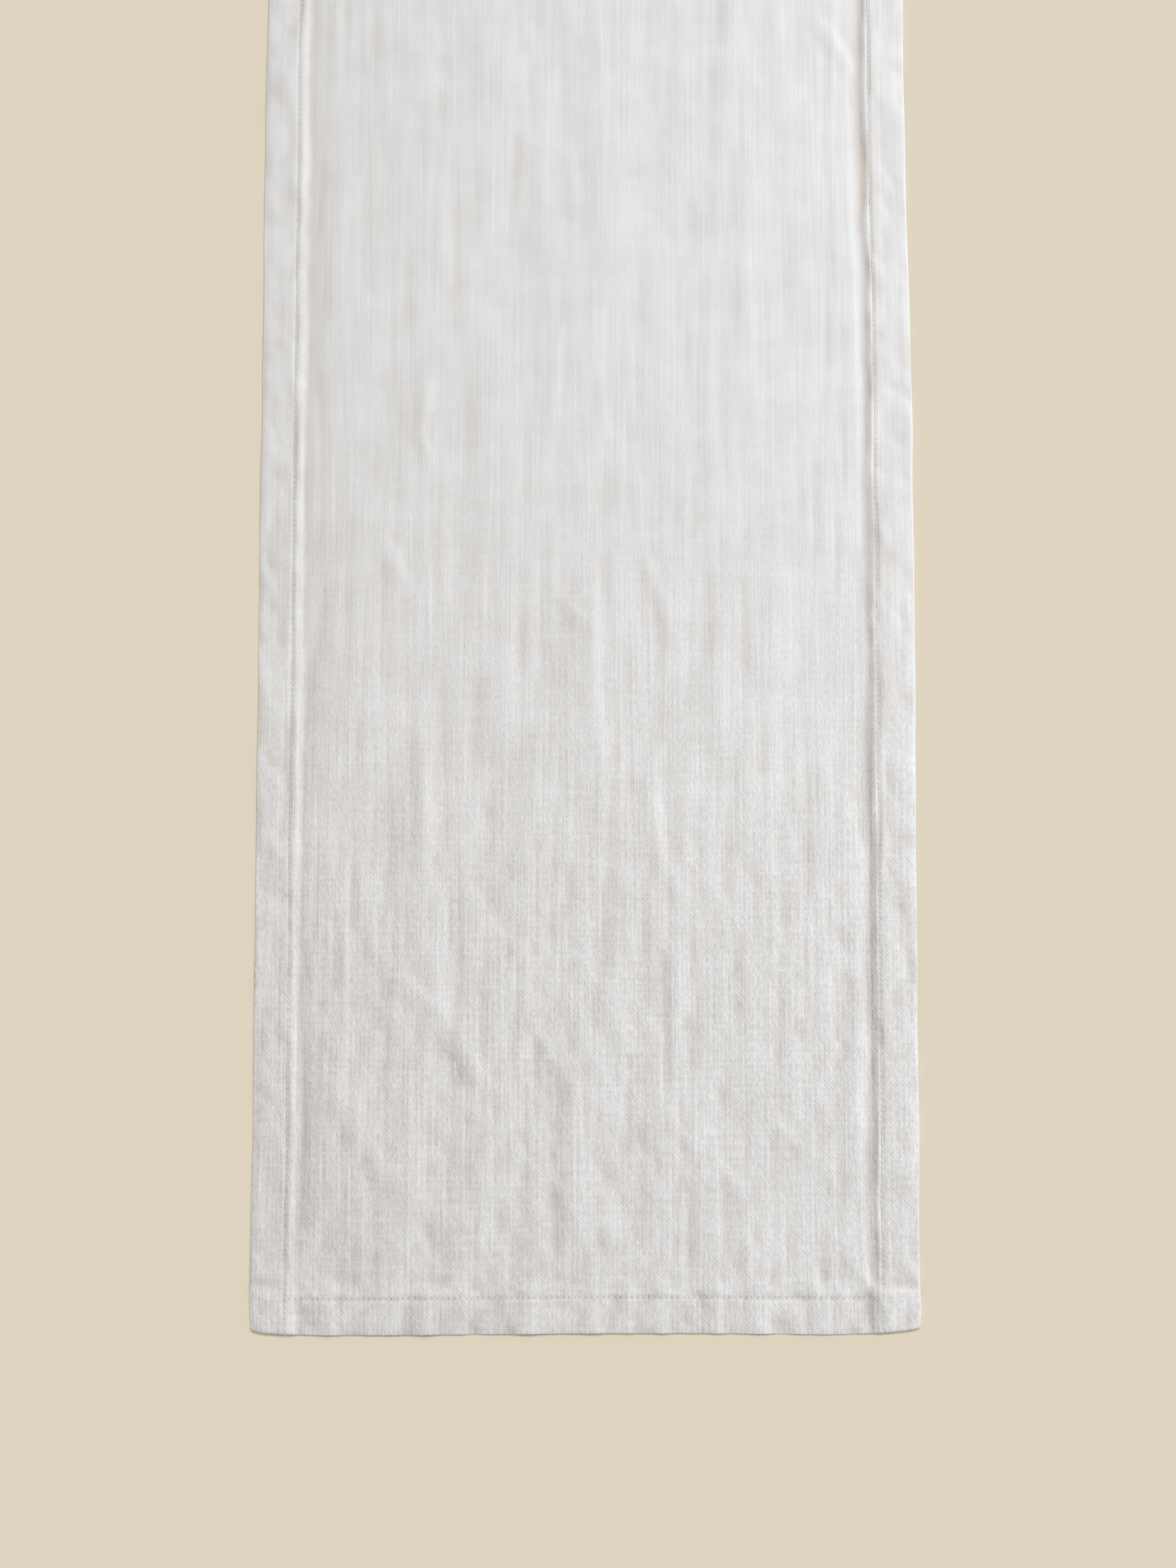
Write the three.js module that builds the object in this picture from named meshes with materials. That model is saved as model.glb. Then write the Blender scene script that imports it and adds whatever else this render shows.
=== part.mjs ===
// A linen table runner lying flat, face side up: one length of plain-woven cloth, turned in twice on
// every edge and held by four lines of lock stitch. The cloth is divided along its own fold lines
// into the single-ply ground, a three-ply hem along each edge and a folded stack at each corner.
// Millimetres, +Z up. The origin is the centre of the footprint, on the surface the runner lies on.
// X runs across the width and Y along the length, with the near end at -Y.
import * as THREE from 'three';

// Overall size of the finished runner
const RUNNER_WIDTH = 400;
const RUNNER_LENGTH = 1500;

// Cloth: one woven ply, and the same ply pressed tighter in a thick corner
const PLY = 0.45;
const CORNER_PLY = 0.4;

// Hem: outer fold to inner fold, and the seam's distance from the inner fold
const HEM_WIDTH = 22;
const STITCH_INSET = 1.6;

// First turn: how far the raw edge lies from the outer fold, and the part pressed shut by the seam
const RAW_EDGE_INSET = 4;
const SEAM_PRESS_WIDTH = 4;

// Air between plies: in a hem away from its seam, and in a corner stack
const HEM_AIR = 0.2;
const CORNER_AIR = 0.05;

// Plies in a corner, where a three-ply hem is turned over twice
const CORNER_PLIES = 9;

// Length over which the cloth settles from a corner to its hem and from a hem to the table
const SETTLE_RUN = 12;
const SETTLE_STEPS = 6;

// Sewing thread, flattened against the cloth by its stitches
const THREAD_WIDTH = 0.5;
const THREAD_HEIGHT = 0.3;

// Height of a bobbin thread's underside above the table, inside its groove
const BOBBIN_BASE = 0.05;

// Clearance between pieces that lie against each other
const LAY_GAP = 0.3;

// Rounding of a folded edge, and the segments that draw it
const FOLD_RADIUS = 0.6;
const FOLD_SEGMENTS = 4;

const HALF_WIDTH = RUNNER_WIDTH / 2;
const HALF_LENGTH = RUNNER_LENGTH / 2;
const TURNING_HEIGHT = 2 * PLY + HEM_AIR;
const HEM_UPPER = TURNING_HEIGHT + HEM_AIR;
const HEM_HEIGHT = HEM_UPPER + PLY;
const CORNER_HEIGHT = CORNER_PLIES * CORNER_PLY + (CORNER_PLIES - 1) * CORNER_AIR;
const CORNER_RISE = CORNER_HEIGHT - HEM_HEIGHT;
const SEAM_FROM_EDGE = HEM_WIDTH - STITCH_INSET;
const PIECE_START = HEM_WIDTH + LAY_GAP;
const GROOVE_WIDTH = THREAD_WIDTH + 2 * LAY_GAP;
const GROOVE_HEIGHT = BOBBIN_BASE + THREAD_HEIGHT + LAY_GAP;

const LINEN_COLOUR = '#dcd9d5';
const THREAD_COLOUR = '#e9e5dc';

const runner = new THREE.Group();

function wovenLinen() {
  return new THREE.MeshStandardMaterial({ color: LINEN_COLOUR, roughness: 0.92, metalness: 0 });
}

function spunThread() {
  return new THREE.MeshStandardMaterial({ color: THREAD_COLOUR, roughness: 0.7, metalness: 0 });
}

function addPiece(name, geometry, material) {
  const piece = new THREE.Mesh(geometry, material);
  piece.name = name;
  runner.add(piece);
}

// 1 within a hem's width of an edge, easing along half a cosine wave to 0 once the cloth has settled
function hemShare(distanceFromEdge) {
  const run = THREE.MathUtils.clamp((distanceFromEdge - HEM_WIDTH) / SETTLE_RUN, 0, 1);
  return 0.5 + 0.5 * Math.cos(Math.PI * run);
}

// Underside of the ground: level with a hem's upper ply at that hem, highest beside a corner
function groundUnderside(x, y) {
  const side = hemShare(HALF_WIDTH - Math.abs(x));
  const end = hemShare(HALF_LENGTH - Math.abs(y));
  return Math.max(side * (HEM_UPPER + CORNER_RISE * end), end * (HEM_UPPER + CORNER_RISE * side));
}

// Places along a span, from end to end, where the cloth changes slope near the hems at its ends
function stations(half, firstFromEdge) {
  const start = [...firstFromEdge];
  for (let step = 1; step <= SETTLE_STEPS; step += 1) {
    start.push(HEM_WIDTH + (SETTLE_RUN * step) / SETTLE_STEPS);
  }
  const near = start.map((fromEdge) => fromEdge - half);
  return [...near, ...near.map((place) => -place).reverse()];
}

// A closed slab of stated thickness whose underside follows a height function
function drapedSlab(xs, ys, underside, thickness) {
  const columns = xs.length - 1;
  const rows = ys.length - 1;
  const slab = new THREE.BoxGeometry(1, 1, 1, columns, rows, 1);
  const point = slab.attributes.position;
  for (let i = 0; i < point.count; i += 1) {
    const x = xs[Math.round((point.getX(i) + 0.5) * columns)];
    const y = ys[Math.round((point.getY(i) + 0.5) * rows)];
    const rise = point.getZ(i) > 0 ? thickness : 0;
    point.setXYZ(i, x, y, underside(x, y) + rise);
  }
  slab.computeVertexNormals();
  return slab;
}

// Outline of a hem's section: u runs inwards from the outer fold and z runs up, with a groove in the
// back along the seam for the bobbin thread
function hemOutline() {
  const r = FOLD_RADIUS;
  const outline = new THREE.Shape();
  outline.moveTo(r, 0);
  outline.lineTo(SEAM_FROM_EDGE - GROOVE_WIDTH / 2, 0);
  outline.lineTo(SEAM_FROM_EDGE - GROOVE_WIDTH / 2, GROOVE_HEIGHT);
  outline.lineTo(SEAM_FROM_EDGE + GROOVE_WIDTH / 2, GROOVE_HEIGHT);
  outline.lineTo(SEAM_FROM_EDGE + GROOVE_WIDTH / 2, 0);
  outline.lineTo(HEM_WIDTH - r, 0);
  outline.absarc(HEM_WIDTH - r, r, r, -Math.PI / 2, 0, false);
  outline.lineTo(HEM_WIDTH, HEM_HEIGHT);
  outline.lineTo(r, HEM_HEIGHT);
  outline.absarc(r, HEM_HEIGHT - r, r, Math.PI / 2, Math.PI, false);
  outline.absarc(r, r, r, Math.PI, 1.5 * Math.PI, false);
  return outline;
}

// The space inside a hem: it runs round the raw edge of the turned-in ply, between that ply and the
// back and upper plies, and stops where the seam presses all three together
function hemCavity() {
  const pressed = HEM_WIDTH - SEAM_PRESS_WIDTH;
  const foldInside = PLY + HEM_AIR;
  return new THREE.Path([
    new THREE.Vector2(pressed, PLY),
    new THREE.Vector2(foldInside, PLY),
    new THREE.Vector2(foldInside, HEM_UPPER),
    new THREE.Vector2(pressed, HEM_UPPER),
    new THREE.Vector2(pressed, TURNING_HEIGHT),
    new THREE.Vector2(RAW_EDGE_INSET, TURNING_HEIGHT),
    new THREE.Vector2(RAW_EDGE_INSET, PLY + HEM_AIR),
    new THREE.Vector2(pressed, PLY + HEM_AIR),
  ]);
}

// One hem between its two corners, along X at y = 0 to +Y, its upper ply lifted beside each corner
function hemGeometry(reach) {
  const places = stations(reach, [PIECE_START]);
  const steps = places.length - 1;
  const section = hemOutline();
  section.holes.push(hemCavity());
  const options = { depth: steps, steps, bevelEnabled: false, curveSegments: FOLD_SEGMENTS };
  const hem = new THREE.ExtrudeGeometry(section, options);
  const point = hem.attributes.position;
  const liftedFrom = (TURNING_HEIGHT + HEM_UPPER) / 2;
  for (let i = 0; i < point.count; i += 1) {
    const place = places[Math.round(point.getZ(i))];
    const lift = point.getY(i) > liftedFrom ? CORNER_RISE * hemShare(reach - Math.abs(place)) : 0;
    point.setXYZ(i, point.getX(i), point.getY(i) + lift, place);
  }
  hem.rotateX(Math.PI / 2);
  hem.rotateZ(Math.PI / 2);
  hem.computeVertexNormals();
  return hem;
}

// Moves a piece made along X, with its outer edge at y = 0, to the edge that the angle names
function placeAtEdge(geometry, half, angle) {
  geometry.translate(0, -half, 0);
  geometry.rotateZ(angle);
  return geometry;
}

// Four points of a slit between two plies of a corner stack, cut from the side at u = mouth
function slitPoints(slit, mouth, floor) {
  const low = slit * (CORNER_PLY + CORNER_AIR) - CORNER_AIR;
  const high = low + CORNER_AIR;
  return [[mouth, low], [floor, low], [floor, high], [mouth, high]];
}

// Section of a corner stack: one strip folded back and forth, so that slits part its plies from
// alternate sides
function cornerSection() {
  const points = [[0, 0], [HEM_WIDTH, 0]];
  for (let slit = 1; slit < CORNER_PLIES; slit += 2) {
    points.push(...slitPoints(slit, HEM_WIDTH, CORNER_PLY));
  }
  points.push([HEM_WIDTH, CORNER_HEIGHT], [0, CORNER_HEIGHT]);
  const lastOuterSlit = 2 * Math.floor((CORNER_PLIES - 1) / 2);
  for (let slit = lastOuterSlit; slit > 1; slit -= 2) {
    points.push(...slitPoints(slit, 0, HEM_WIDTH - CORNER_PLY).reverse());
  }
  return new THREE.Shape(points.map(([u, z]) => new THREE.Vector2(u, z)));
}

function cornerGeometry(side, end) {
  const options = { depth: HEM_WIDTH, steps: 1, bevelEnabled: false };
  const stack = new THREE.ExtrudeGeometry(cornerSection(), options);
  stack.translate(-HEM_WIDTH / 2, 0, -HEM_WIDTH / 2);
  stack.rotateX(Math.PI / 2);
  stack.translate(side * (HALF_WIDTH - HEM_WIDTH / 2), end * (HALF_LENGTH - HEM_WIDTH / 2), 0);
  return stack;
}

// The four edges: distance from the centre, half the edge's own length, turn about Z and direction
const SIDES = [
  { name: 'left', half: HALF_WIDTH, reach: HALF_LENGTH, angle: -Math.PI / 2, sign: -1 },
  { name: 'right', half: HALF_WIDTH, reach: HALF_LENGTH, angle: Math.PI / 2, sign: 1 },
];
const ENDS = [
  { name: 'near', half: HALF_LENGTH, reach: HALF_WIDTH, angle: 0, sign: -1 },
  { name: 'far', half: HALF_LENGTH, reach: HALF_WIDTH, angle: Math.PI, sign: 1 },
];

function addGroundCloth() {
  const xs = stations(HALF_WIDTH, [PIECE_START]);
  const ys = stations(HALF_LENGTH, [PIECE_START]);
  addPiece('ground_cloth', drapedSlab(xs, ys, groundUnderside, PLY), wovenLinen());
}

function addHem(kind, edge) {
  const hem = placeAtEdge(hemGeometry(edge.reach), edge.half, edge.angle);
  addPiece(`${kind}_hem_${edge.name}`, hem, wovenLinen());
}

function addCorner(side, end) {
  addPiece(`corner_${end.name}_${side.name}`, cornerGeometry(side.sign, end.sign), wovenLinen());
}

// Height at which a needle thread lies on a hem and over the corners at that hem's ends
function needleHeight(distanceFromEnd) {
  return HEM_HEIGHT + CORNER_RISE * hemShare(distanceFromEnd) + LAY_GAP;
}

// A side seam's needle thread runs from edge to edge of the cloth
function addSideNeedleThread(side) {
  const centre = side.sign * (HALF_WIDTH - SEAM_FROM_EDGE);
  const xs = [centre - THREAD_WIDTH / 2, centre + THREAD_WIDTH / 2];
  const ys = stations(HALF_LENGTH, [0, HEM_WIDTH]);
  const height = (x, y) => needleHeight(HALF_LENGTH - Math.abs(y));
  addPiece(`needle_thread_${side.name}`, drapedSlab(xs, ys, height, THREAD_HEIGHT), spunThread());
}

// An end seam's needle thread runs from one side seam to the other
function addEndNeedleThread(end) {
  const centre = end.sign * (HALF_LENGTH - SEAM_FROM_EDGE);
  const ys = [centre - THREAD_WIDTH / 2, centre + THREAD_WIDTH / 2];
  const xs = stations(HALF_WIDTH, [SEAM_FROM_EDGE + THREAD_WIDTH / 2 + LAY_GAP, HEM_WIDTH]);
  const height = (x) => needleHeight(HALF_WIDTH - Math.abs(x));
  addPiece(`needle_thread_${end.name}`, drapedSlab(xs, ys, height, THREAD_HEIGHT), spunThread());
}

// A bobbin thread lies in the groove under its hem, between the two corners
function addBobbinThread(edge) {
  const length = 2 * (edge.reach - PIECE_START);
  const thread = new THREE.BoxGeometry(length, THREAD_WIDTH, THREAD_HEIGHT);
  thread.translate(0, SEAM_FROM_EDGE, BOBBIN_BASE + THREAD_HEIGHT / 2);
  addPiece(`bobbin_thread_${edge.name}`, placeAtEdge(thread, edge.half, edge.angle), spunThread());
}

addGroundCloth();
SIDES.forEach((side) => addHem('side', side));
ENDS.forEach((end) => addHem('end', end));
ENDS.forEach((end) => SIDES.forEach((side) => addCorner(side, end)));
SIDES.forEach(addSideNeedleThread);
ENDS.forEach(addEndNeedleThread);
[...SIDES, ...ENDS].forEach(addBobbinThread);

export default runner;
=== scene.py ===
"""Looks of a hemmed linen table runner that lies flat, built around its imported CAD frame.

The runner is one length of plain-woven linen, turned in twice on every edge and held by four lines of
lock stitch. Each piece is a real ply folded as a sewer folds it: the single-ply ground, a hem along
each edge, a stack at each corner where one hem is turned over another, and the needle and bobbin
threads. Lengths are millimetres until a mesh is made, in the frame's own axes: X across, Y along, Z up.
"""

import logging
import math
from dataclasses import dataclass, field
from enum import Enum
from typing import Any

import bpy
import numpy as np
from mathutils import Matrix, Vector


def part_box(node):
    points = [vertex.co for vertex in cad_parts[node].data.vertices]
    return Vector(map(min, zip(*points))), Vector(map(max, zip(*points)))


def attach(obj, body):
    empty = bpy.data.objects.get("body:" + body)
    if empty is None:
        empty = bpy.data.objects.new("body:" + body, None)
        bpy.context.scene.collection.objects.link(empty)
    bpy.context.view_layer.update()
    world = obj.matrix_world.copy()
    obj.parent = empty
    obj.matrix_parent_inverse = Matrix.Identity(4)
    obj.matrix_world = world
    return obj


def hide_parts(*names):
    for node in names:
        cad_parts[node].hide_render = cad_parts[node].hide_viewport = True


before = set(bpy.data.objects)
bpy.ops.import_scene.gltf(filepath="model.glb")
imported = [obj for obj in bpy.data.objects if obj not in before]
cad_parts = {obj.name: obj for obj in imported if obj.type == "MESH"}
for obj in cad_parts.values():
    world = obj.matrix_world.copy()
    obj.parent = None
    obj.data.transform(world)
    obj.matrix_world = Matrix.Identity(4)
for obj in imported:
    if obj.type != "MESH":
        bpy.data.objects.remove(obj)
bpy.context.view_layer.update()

MM = 0.001
LOG = logging.getLogger("table_runner")


class Slot(Enum):
    """The record's material slots."""

    LINEN = "linen_cloth"
    THREAD = "sewing_thread"


class Side(Enum):
    """A long edge of the runner, by its direction along X."""

    LEFT = -1
    RIGHT = 1


class End(Enum):
    """A short edge of the runner, by its direction along Y."""

    NEAR = -1
    FAR = 1


def smooth_step(value: np.ndarray, low: float, high: float) -> np.ndarray:
    """0 below low, 1 above high, and the cubic 3t^2 - 2t^3 between them.

    Args:
        value: The places to read the step at.
        low: Where the step starts.
        high: Where it is complete.

    Returns:
        The step, from 0 to 1.
    """
    t = np.clip((value - low) / (high - low), 0.0, 1.0)
    return t * t * (3.0 - 2.0 * t)


def bell(value: np.ndarray, width: float) -> np.ndarray:
    """A Gaussian hump of height 1 that falls to 1/e at width."""
    return np.exp(-np.square(value / width))


def between(start: float, end: float, share: np.ndarray) -> np.ndarray:
    """The value that lies a share of the way from start to end."""
    return start + (end - start) * share


def graded(half: float, band: float, fine: float, coarse: float) -> np.ndarray:
    """Places along a span from -half to half, close together in a band at each end.

    Args:
        half: Half the span.
        band: Width of each end band.
        fine: Step inside the bands.
        coarse: Step between them.

    Returns:
        The places, in rising order, an even number of steps apart from end to end.
    """
    ends = np.linspace(-half, -half + band, round(band / fine) + 1)
    steps = 2 * round((half - band) / coarse)
    middle = np.linspace(-half + band, half - band, steps + 1)
    return np.concatenate([ends[:-1], middle, -ends[::-1][1:]])


# ---------------------------------------------------------------------------------------------------
# Sizes, taken from the frame
# ---------------------------------------------------------------------------------------------------


@dataclass(frozen=True)
class RunnerSizes:
    """Finished sizes of the runner and its plies."""

    half_width: float
    half_length: float
    hem: float
    seam_x: float
    seam_y: float
    corner_height: float
    ply: float = 0.45
    air: float = 0.2
    corner_ply: float = 0.4
    corner_air: float = 0.05
    raw_edge: float = 4.0
    # How far the upper ply falls towards the outer fold, and over what width
    shoulder_drop: float = 0.40
    shoulder_width: float = 2.4
    # How far a seam sinks the face and raises the back, on a hem and on a corner stack
    sink: tuple[float, float] = (0.353, 0.18)
    bobbin_rise: tuple[float, float] = (0.25, 0.10)
    # Share by which a seam presses each ply thinner
    thinned: float = 0.15

    @classmethod
    def from_frame(cls) -> "RunnerSizes":
        """Reads the sizes from the boxes of the CAD nodes.

        Returns:
            The sizes, in millimetres.
        """
        low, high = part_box("corner_far_right")
        seam_low, seam_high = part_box("needle_thread_right")
        end_low, end_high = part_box("needle_thread_far")
        return cls(
            half_width=high.x / MM,
            half_length=high.y / MM,
            hem=(high.x - low.x) / MM,
            seam_x=(seam_low.x + seam_high.x) / 2 / MM,
            seam_y=(end_low.y + end_high.y) / 2 / MM,
            corner_height=high.z / MM,
        )

    @property
    def seam_inset(self) -> float:
        """Distance of a seam from its outer fold."""
        return self.half_width - self.seam_x

    def inboard(self, x: np.ndarray) -> np.ndarray:
        """How far places lie inboard of the side hems; negative on a hem."""
        return self.half_width - self.hem - np.abs(x)

    def from_end(self, y: np.ndarray) -> np.ndarray:
        """How far places lie inboard of the end hems; negative on a hem."""
        return self.half_length - self.hem - np.abs(y)

    @property
    def strip_height(self) -> float:
        """Height of a three-ply hem once it is pressed into a corner stack."""
        return 3 * self.corner_ply + 2 * self.corner_air

    @property
    def hem_rise(self) -> float:
        """Height of a hem's upper ply above the table, at its underside."""
        return 2 * (self.ply + self.air)

    @property
    def corner_rise(self) -> float:
        """How much higher the upper ply's underside is on a corner than on a hem."""
        return self.corner_height - self.corner_ply - self.hem_rise


# ---------------------------------------------------------------------------------------------------
# How the cloth lies
# ---------------------------------------------------------------------------------------------------


@dataclass(frozen=True)
class Crease:
    """A soft crease along a line of points: a hump, or a hollow where its height is negative."""

    line: tuple[tuple[float, float], ...]
    height: float
    width: float
    # Share of its height that is left at both ends of the line
    end_height: float = 0.35

    def turned(self) -> "Crease":
        """The same crease turned half round about the runner's centre."""
        return Crease(tuple((-x, -y) for x, y in self.line), self.height, self.width)

    def relief(self, x: np.ndarray, y: np.ndarray) -> np.ndarray:
        """Height of the crease: a Gaussian of the distance to its line, tapered at both ends.

        Args:
            x: Places across the runner.
            y: Places along it.

        Returns:
            The height at each place, in millimetres.
        """
        points = np.array(self.line, float)
        lengths = np.hypot(*np.diff(points, axis=0).T)
        total, before = lengths.sum(), 0.0
        nearest = np.full(np.broadcast(x, y).shape, np.inf)
        along = np.zeros_like(nearest)
        for (ax, ay), (bx, by), length in zip(points[:-1], points[1:], lengths):
            ux, uy = (bx - ax) / length, (by - ay) / length
            t = np.clip((x - ax) * ux + (y - ay) * uy, 0.0, length)
            away = np.hypot(x - ax - t * ux, y - ay - t * uy)
            closer = away < nearest
            nearest = np.where(closer, away, nearest)
            along = np.where(closer, (before + t) / total, along)
            before += length
        taper = between(self.end_height, 1.0, np.sqrt(np.clip(4 * along * (1 - along), 0.0, 1.0)))
        return self.height * taper * bell(nearest, self.width)


@dataclass(frozen=True)
class Crumple:
    """One size of crumple, as smooth noise of that height whose features have that width and length."""

    height: float
    across: float
    along: float
    # Degrees by which the features lean from the runner's length
    lean: float = 0.0
    ridged: bool = False
    # Added to the noise, which is then kept from 0 up, so that only its crests stand up
    base: float | None = None
    # The highest that such a crest stands, before it is scaled
    crest: float = 3.0
    # Distance from the middle of the length over which it starts, if it belongs to the ends
    grows: tuple[float, float] | None = None


GROUND_CRUMPLE = (
    Crumple(0.09, 3.4, 42.0, ridged=True),
    Crumple(0.075, 5.5, 55.0),
    Crumple(0.17, 13.0, 85.0),
    Crumple(0.036, 4.0, 6.5),
    Crumple(0.18, 24.0, 34.0),
    Crumple(0.055, 4.5, 18.0, lean=32.0, grows=(380.0, 560.0)),
    Crumple(0.045, 4.5, 18.0, lean=-28.0, grows=(300.0, 600.0)),
)

# Crumple of a hem's upper ply alone, then of all its plies together, then the pucker along a seam
SKIN_CRUMPLE = (Crumple(0.13, 8.0, 13.0), Crumple(0.10, 4.5, 9.0, lean=30.0), Crumple(0.07, 3.2, 12.0))
HEM_CRUMPLE = (Crumple(0.36, 24.0, 34.0, base=0.9), Crumple(0.20, 7.0, 10.0, base=1.0))
SEAM_PUCKER = (Crumple(0.20, 4.0, 4.0, base=0.6),)

GROUND_CREASES = (
    Crease(((-97, -165), (-101, -203), (-96, -224)), 0.83, 3.2),
    Crease(((7, 80), (11, -25)), 0.52, 4.5),
    Crease(((-18, -140), (-21, -215)), 0.52, 3.5),
    Crease(((9, -168), (13, -205)), 0.45, 3.0),
    Crease(((36, -278), (47, -308), (54, -336)), 0.68, 4.0),
    Crease(((-19, -300), (-4, -318), (12, -330)), 0.60, 3.5),
    Crease(((-32, -284), (-32, -342)), 0.45, 3.0),
    Crease(((-126, -268), (-112, -298)), 0.90, 5.5),
    Crease(((146, 62), (168, 30)), 1.05, 5.0),
    Crease(((43, -400), (41, -428), (44, -458), (57, -492)), 1.05, 5.0),
    Crease(((54, -520), (54, -588)), 1.05, 4.5),
    Crease(((19, -512), (18, -530)), 0.45, 2.5),
    Crease(((-136, -470), (-130, -518)), 0.75, 4.0),
    Crease(((-65, -482), (-63, -530)), 0.75, 4.0),
    Crease(((-112, -541), (-84, -560), (-62, -602)), 1.12, 6.0),
    Crease(((-150, -600), (-120, -655), (-70, -690)), 1.05, 9.0),
    Crease(((-30, -560), (-8, -610), (0, -690)), 0.90, 8.0),
    Crease(((-58, -565), (-49, -583)), 0.68, 3.5),
    Crease(((-24, -576), (-26, -596)), 0.52, 3.0),
    Crease(((49, -622), (68, -641)), 0.68, 3.5),
    Crease(((81, -650), (97, -668)), 0.68, 3.5),
    Crease(((111, -622), (135, -644)), 0.68, 3.5),
    Crease(((-44, -655), (-44, -690)), 0.68, 3.5),
    Crease(((-13, -664), (-12, -678)), 0.68, 3.0),
    Crease(((158, -430), (168, -470), (163, -570), (163, -672)), 0.83, 7.0),
    Crease(((166, 62), (165, -60), (167, -190), (165, -420)), 0.60, 6.0),
    Crease(((-118, -640), (-126, -704)), 1.10, 30.0),
)

# Tucks that the side seams pull into the cloth beside them
SEAM_TUCKS = (
    Crease(((176, 84), (175.5, 58)), -0.75, 3.2),
    Crease(((175, -18), (175.5, -58)), -1.00, 3.8),
    Crease(((176, -84), (175.5, -114)), -0.85, 3.4),
    Crease(((176, -130), (176.5, -150)), -0.80, 3.2),
    Crease(((175.5, -162), (176, -184)), -0.80, 3.2),
    Crease(((175.5, -326), (175.5, -356)), -0.60, 3.0),
    Crease(((176, -440), (176, -540)), -0.45, 2.8),
    Crease(((175.5, -560), (175.5, -650)), -0.55, 3.0),
    Crease(((176, -690), (176.5, -722)), -0.65, 3.0),
    Crease(((171, -721), (160, -712)), 0.50, 1.8),
    Crease(((-170, 14), (-171, -12)), -0.50, 3.6),
    Crease(((-167, -30), (-169, -78)), -0.60, 4.2),
    Crease(((-165, -168), (-166, -230)), -0.55, 4.0),
    Crease(((-161, -300), (-164, -345)), -0.45, 4.5),
)

# Dents in the upper ply of a side hem, just outside its seam
HEM_DENTS = (
    Crease(((184, -574), (184, -620)), -0.30, 3.6),
    Crease(((186, -440), (184, -470)), -0.22, 4.0),
    Crease(((185, -300), (186, -352)), -0.22, 4.0),
    Crease(((184, -130), (185, -196)), -0.26, 4.0),
    Crease(((186, -40), (185, 10)), -0.22, 4.0),
    Crease(((-198, -704), (-192, -716)), 0.28, 1.6),
    Crease(((-190, -330), (-184, -372)), -0.22, 3.4),
    Crease(((-186, -90), (-190, -150)), -0.22, 3.4),
)

# Ripples across an end hem: place along the hem, height and width
END_RIPPLES = (
    (-154, 1.20, 6.5),
    (-96, 0.88, 5.0),
    (-75, 0.96, 5.0),
    (-34, 1.28, 6.5),
    (4, 0.72, 5.0),
    (25, 0.88, 5.0),
    (45, 1.12, 5.0),
    (78, 0.88, 5.0),
    (104, 1.20, 5.5),
    (140, 0.80, 7.0),
)


@dataclass(frozen=True)
class EdgeShift:
    """How washing and sewing drew the edges in their own plane. A pair is for the left and the right."""

    # How much further in than its cut place a side seam lies, and an end seam, and how far that reaches
    hem_spread: tuple[float, float] = (0.7, 2.4)
    end_spread: float = 1.3
    spread_reach: float = 16.0
    # A corner's tip drawn in along the length, sharply at the edge and broadly beside it
    tip: tuple[float, float] = (1.6, 2.2)
    tip_reach: float = 7.0
    broad: tuple[float, float] = (0.7, 2.1)
    broad_reach: float = 30.0
    tip_depth: float = 13.0
    # A corner drawn in across the width
    drawn: float = 0.8
    drawn_reach: tuple[float, float] = (12.0, 10.0)
    # A long edge bowed outwards or inwards about a place along it
    bow: tuple[float, float] = (-0.9, 2.2)
    bow_at: float = -247.0
    bow_reach: float = 230.0
    # How quickly the bow fades from the edge towards the middle
    bow_power: int = 3
    # A slow wave in the short edges: its height, length per radian, phase and where it starts
    wave: float = 0.6
    wave_length: float = 61.0
    wave_phase: float = 1.0
    wave_from: float = 650.0

    def shift(
        self, sizes: RunnerSizes, x: np.ndarray, y: np.ndarray, wobble: np.ndarray
    ) -> tuple[np.ndarray, np.ndarray]:
        """How far the cloth has shifted: each pull is a bell of the distance to its edge or seam.

        Args:
            sizes: The runner's sizes.
            x: Places across the runner.
            y: Places along it.
            wobble: Seeded wobble at those places.

        Returns:
            The shift along X and along Y, in millimetres.
        """
        x, y = np.broadcast_arrays(x, y)
        right = x > 0
        inwards, from_end = sizes.half_width - np.abs(x), sizes.half_length - np.abs(y)
        tip = np.where(right, self.tip[1], self.tip[0]) * np.exp(-np.abs(inwards) / self.tip_reach)
        tip = tip + np.where(right, self.broad[1], self.broad[0]) * bell(inwards, self.broad_reach)
        tip = tip * bell(from_end, self.tip_depth)
        edge = np.power(np.abs(x) / sizes.half_width, self.bow_power)
        bow = np.where(right, self.bow[1], self.bow[0]) * bell(y - self.bow_at, self.bow_reach) * edge
        wave = self.wave * np.sin(x / self.wave_length + self.wave_phase)
        wave = wave * smooth_step(np.abs(y), self.wave_from, sizes.half_length)
        drawn = self.drawn * bell(inwards, self.drawn_reach[0]) * bell(from_end, self.drawn_reach[1])
        wide = np.where(right, self.hem_spread[1], self.hem_spread[0])
        wide = wide * bell(np.abs(x) - sizes.seam_x, self.spread_reach)
        deep = self.end_spread * bell(np.abs(y) - sizes.seam_y, self.spread_reach)
        dx = bow + wobble * edge - np.sign(x) * (drawn + wide)
        return dx, wave - np.sign(y) * (tip + deep)


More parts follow.
